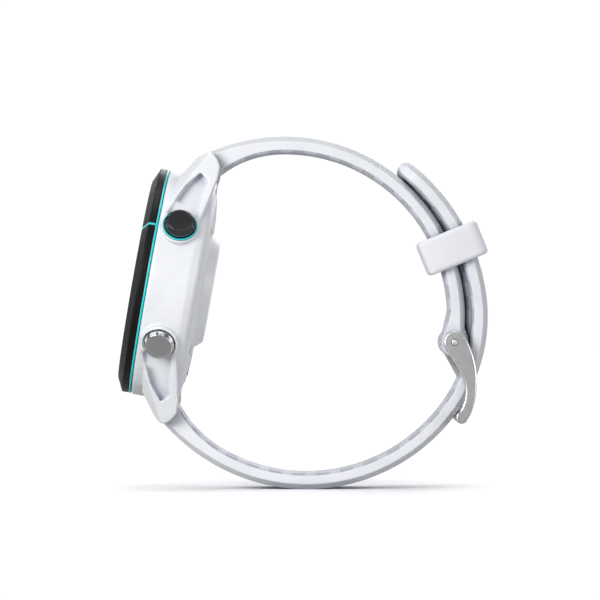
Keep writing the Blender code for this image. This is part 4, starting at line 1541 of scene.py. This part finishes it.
@dataclass
class Keeper:
    """The free loop that holds the strap's tail."""

    angle: float = 22.2
    radii: Point = (27.4 * MM, 39.0 * MM)
    window: Point = (29.62 * MM, 37.2 * MM)
    half_length: float = 3.25 * MM
    half_width: float = 10.8 * MM
    inner_half: float = 9.2 * MM
    outer_round: float = 2.1 * MM
    inner_round: float = 1.2 * MM
    edge_round: float = 0.8 * MM

    def build(self) -> bpy.types.Object:
        """Builds the loop, with wide slopes on its outer corners.

        Returns:
            The keeper's object.
        """
        low, high = self.radii
        length = self.half_length
        block = Blank.block((low, -self.half_width, -length), (high, self.half_width, length))
        along = block.along(2)
        outer = [edge for edge in along if edge.verts[0].co.x > (low + high) / 2]
        inner = [edge for edge in along if edge not in outer]
        block.bevelled(self.outer_round, 6, edges=outer)
        inner = [edge for edge in inner if edge.is_valid]
        block.bevelled(self.inner_round, 3, edges=inner)
        block.bevelled(self.edge_round, 5, angle=70.0, clamp=False)
        near, far = self.window
        gap = Blank.block((near, -self.inner_half, -6 * MM), (far, self.inner_half, 6 * MM))
        block.carved([gap.bevelled(0.5 * MM, 4, edges=gap.along(2))])
        turn = Matrix.Rotation(-math.radians(self.angle), 4, "Y")
        block.moved(Matrix.Translation((UPPER_CENTRE[0], 0, UPPER_CENTRE[1])) @ turn)
        body = joint("keeper_slide")["child"]
        return block.issue("keeper_loop", [SILICONE], Slot.SILICONE, body, ["keeper"], sharp=40.0)


# -------------------------------------------------------------------------------------- buckle


@dataclass
class Buckle:
    """Frame, tongue and pin, in the frame of the pin."""

    arm_inner: float = 9.3 * MM
    arm_outer: float = 11.2 * MM
    window_low: float = -21.5 * MM
    tongue_half: float = 0.85 * MM
    pin_r: float = 0.6 * MM
    play: float = 0.05 * MM
    polish: float = 0.38 * MM

    def __post_init__(self) -> None:
        """Sets the matrix from the pin's frame to the watch's."""
        self.matrix = Matrix.Translation((PIN[0], 0, PIN[1]))

    def build(self) -> None:
        """Builds the three pieces."""
        self.arms()
        self.tongue()
        self.pin()

    def outline(self) -> list[Point]:
        """Draws the arm's outline as four arcs, in the pin's frame.

        Returns:
            Points of the outline, in order.
        """
        inner_bend, crossbar_end, outer_bend = mm([(-4.96, -8.92), (1.27, -13.8), (-12.23, -7.12)])
        outline = arc((0, 0), 2.06 * MM, 35, 200, 7)
        outline += arc(inner_bend, 6.9 * MM, 24, -42, 4)
        outline += arc(crossbar_end, 1.1 * MM, 165, 340, 14)
        return outline + arc(outer_bend, 16.3 * MM, -22, 31, 3)

    def arms(self) -> bpy.types.Object:
        """Builds the frame: satin arms with polished edges, and the crossbar.

        Returns:
            The frame's object.
        """
        frame_blank = Blank.plate(self.outline(), -self.arm_outer, self.arm_outer)
        frame_blank.bevelled(self.polish, 4, edges=frame_blank.rims(), clamp=False)
        top = self.window_low - PIN[1]
        window = Blank.block((-6 * MM, -self.arm_inner, top), (8 * MM, self.arm_inner, 6 * MM))
        half = self.tongue_half + 0.25 * MM
        notch = Blank.block((1.75 * MM, -half, -13.9 * MM), (8 * MM, half, top + MM))
        eye = Blank.rod(self.pin_r + self.play, 12 * MM, 40)
        frame_blank.carved([window, notch, eye])
        frame_blank.painted(1, lambda face: abs(face.normal.y) < 0.93).moved(self.matrix)
        body = joint("buckle_swing")["child"]
        finishes = [SATIN_STEEL, POLISHED_STEEL]
        return frame_blank.issue("buckle_arms", finishes, Slot.BUCKLE, body, ["buckle_frame"])

    def tongue(self) -> bpy.types.Object:
        """Builds the tongue, whose end rests in the crossbar's notch.

        Returns:
            The tongue's object.
        """
        inner_bend, outer_bend, inner_root, outer_root, outer_foot = mm([
            (-2.8, -10.97), (-1.87, -10.78), (-1.72, -2.1), (-0.6, -2.2), (0.9, -1.1),
        ])
        outline = arc((0, 0), 1.45 * MM, 30, 195, 8)
        outline.append(inner_root)
        outline += arc(inner_bend, 5.29 * MM, 22, -24, 5)
        outline += arc(outer_bend, 5.28 * MM, -29, 23, 5)
        outline += [outer_root, outer_foot]
        blank = Blank.plate(outline, -self.tongue_half, self.tongue_half)
        blank.bevelled(0.18 * MM, 3, edges=blank.rims(), clamp=False)
        blank.carved([Blank.rod(self.pin_r + self.play, 3 * MM, 40)]).moved(self.matrix)
        body = joint("tongue_swing")["child"]
        return blank.issue("buckle_tongue_bar", [SATIN_STEEL], Slot.BUCKLE, body, ["buckle_tongue"])

    def pin(self) -> bpy.types.Object:
        """Builds the pin, whose ends are slightly domed.

        Returns:
            The pin's object.
        """
        end = 11.1 * MM
        radius = self.pin_r
        outline = [(0.0, end), (radius, end), (radius, -end), (0.0, -end)]
        blank = Blank.turned(fillet(outline, [0.0, 0.18 * MM, 0.18 * MM, 0.0], 5, False), 40)
        blank.moved(self.matrix @ Matrix.Rotation(math.pi / 2, 4, "X"))
        return blank.issue("buckle_hinge_pin", [POLISHED_STEEL], Slot.BUCKLE, replaces=["buckle_pin"])


# ------------------------------------------------------------------------------ carried nodes


@dataclass
class CarriedNodes:
    """Finishes for the CAD nodes that are shown as they are."""

    by_slot: dict[Slot, Finish]

    def build(self) -> None:
        """Gives each shown CAD node the finish of its slot."""
        slots = {item["node"]: Slot(item["material_slot"]) for item in frame["record"]["subparts"]}
        for name, node in frame["nodes"].items():
            if node.hide_render:
                continue
            finish = self.by_slot[slots[name]]
            node.data.materials.clear()
            node.data.materials.append(finish.material())
            LOG.info("%s: carried over in %s", name, finish.name)


CARRIED = CarriedNodes({
    Slot.BAR: BAR_STEEL,
    Slot.SCREW: SCREW_STEEL,
    Slot.SEAL: ELASTOMER,
    Slot.BOARD: SOLDER_MASK,
    Slot.PANEL: PANEL_BLACK,
    Slot.DARK: DARK_POLYMER,
    Slot.FOIL: CELL_FOIL,
    Slot.GOLD: GOLD_PLATE,
    Slot.COPPER: COPPER_PLATE,
    Slot.CAN: PRESSED_CAN,
})


# -------------------------------------------------------------------------------------- studio


@dataclass
class Studio:
    """Pale floor, soft lights and the camera."""

    aim: Vector
    distance: float = 1.05
    field: float = 110.7 * MM
    sensor: float = 36.0
    floor_half: float = 3.0
    surround: float = 0.34

    def build(self) -> None:
        """Sets up everything round the watch."""
        self.world()
        self.floor()
        self.camera()
        self.lamp("key_light", (-0.24, -0.32, 0.1), 0.2, 1.35, (1.0, 1.0, 1.0))
        self.lamp("fill_light", (0.9, -0.4, 0.0), 0.45, 4.2, (0.97, 0.98, 1.0))
        self.lamp("top_light", (0.05, 0.05, 0.8), 0.4, 1.25, (1.0, 1.0, 1.0))
        self.lamp("back_light", (0.25, 0.9, 0.4), 0.6, 2.4, (1.0, 1.0, 1.0))

    def world(self) -> None:
        """Makes a dim surround that looks white from the camera."""
        world = bpy.data.worlds.new("studio")
        world.use_nodes = True
        tree = world.node_tree
        background = tree.nodes["Background"]
        path = tree.nodes.new("ShaderNodeLightPath")
        way = tree.nodes.new("ShaderNodeTexCoord")
        panels = tree.nodes.new("ShaderNodeTexNoise")
        panels.inputs["Scale"].default_value = 3.6
        panels.inputs["Detail"].default_value = 0.0
        contrast = tree.nodes.new("ShaderNodeMapRange")
        for name, value in (("From Min", 0.4), ("From Max", 0.56), ("To Min", 0.12), ("To Max", 1.0)):
            contrast.inputs[name].default_value = value
        tree.links.new(way.outputs["Generated"], panels.inputs["Vector"])
        tree.links.new(panels.outputs[0], contrast.inputs["Value"])
        shiny = tree.nodes.new("ShaderNodeMix")
        shiny.inputs[2].default_value = self.surround
        tree.links.new(path.outputs["Is Glossy Ray"], shiny.inputs[0])
        tree.links.new(contrast.outputs[0], shiny.inputs[3])
        strength = tree.nodes.new("ShaderNodeMix")
        strength.inputs[3].default_value = 1.05
        tree.links.new(path.outputs["Is Camera Ray"], strength.inputs[0])
        tree.links.new(shiny.outputs[0], strength.inputs[2])
        tree.links.new(strength.outputs[0], background.inputs["Strength"])
        background.inputs["Color"].default_value = (0.965, 0.98, 1.0, 1.0)
        bpy.context.scene.world = world
        bpy.context.scene.view_settings.view_transform = "Standard"

    def floor(self) -> None:
        """Lays the floor under the lowest point of the watch."""
        data = bpy.data.meshes.new("floor")
        work = bmesh.new()
        height = CAD_BOX[0].z - 0.02 * MM
        bmesh.ops.create_grid(work, x_segments=1, y_segments=1, size=self.floor_half)
        bmesh.ops.translate(work, verts=work.verts, vec=(0.0, 0.0, height))
        work.to_mesh(data)
        work.free()
        plane = bpy.data.objects.new("floor", data)
        bpy.context.scene.collection.objects.link(plane)
        data.materials.append(self.paper())

    def paper(self) -> bpy.types.Material:
        """Makes the floor's white paper, which fades into the white surround.

        Returns:
            The material.
        """
        graph = Graph("floor_paper")
        inputs = {"Vector": graph.place, "Location": (-self.aim.x, 0.0, 0.0), "Scale": (1.0, 0.6, 0.0)}
        middle = graph.add("Mapping", inputs)
        distance = graph.add("VectorMath", {0: middle.outputs[0]}, operation="LENGTH").outputs["Value"]
        far = graph.ramp(distance, 0.0, 1.0, 0.02, 0.04)
        seen = graph.add("LightPath").outputs["Is Camera Ray"]
        shade = graph.mix(seen, (0.62, 0.62, 0.63), (1.14, 1.14, 1.15))
        paper = graph.add("BsdfDiffuse", {"Color": shade})
        strength = graph.ramp(seen, 0.4, 1.05)
        glow = graph.add("Emission", {"Color": (1.0, 1.0, 1.0, 1.0), "Strength": strength})
        both = graph.add("MixShader", {0: far, 1: paper.outputs[0], 2: glow.outputs[0]})
        graph.feed(graph.tree.nodes["Material Output"].inputs["Surface"], both.outputs[0])
        graph.tree.nodes.remove(graph.shader)
        return graph.material

    def camera(self) -> None:
        """Puts the camera on the 3 o'clock side, level with the watch."""
        data = bpy.data.cameras.new("camera")
        data.sensor_width = self.sensor
        data.lens = self.sensor * self.distance / self.field
        data.clip_start = 0.01
        data.clip_end = 20.0
        camera = bpy.data.objects.new("camera", data)
        camera.location = self.aim + Vector((0.0, -self.distance, 0.0))
        camera.rotation_euler = (math.pi / 2, 0.0, 0.0)
        bpy.context.scene.collection.objects.link(camera)
        bpy.context.scene.camera = camera

    def lamp(self, name: str, place: Sequence[float], size: float, power: float, colour: Colour) -> None:
        """Adds a square soft light that looks at the watch.

        Args:
            name: The light's name.
            place: Its place, from the aim.
            size: Its side in metres.
            power: Its power in watts.
            colour: Its colour.
        """
        data = bpy.data.lights.new(name, "AREA")
        data.shape = "SQUARE"
        data.size = size
        data.energy = power
        data.color = colour
        lamp = bpy.data.objects.new(name, data)
        lamp.location = self.aim + Vector(place)
        lamp.rotation_euler = (-Vector(place)).to_track_quat("-Z", "Y").to_euler()
        lamp.visible_camera = False
        bpy.context.scene.collection.objects.link(lamp)


def main() -> None:
    """Builds the watch's pieces and the studio round them."""
    logging.basicConfig(level=logging.INFO, format="%(message)s")
    aim = Vector((16.33 * MM, 0.0, -1.42 * MM))
    parts = (CaseHead(), Glazing(), ButtonSet(), Strap(), Keeper(), Buckle(), CARRIED, Studio(aim))
    for part in parts:
        part.build()


if __name__ == "__main__":
    main()
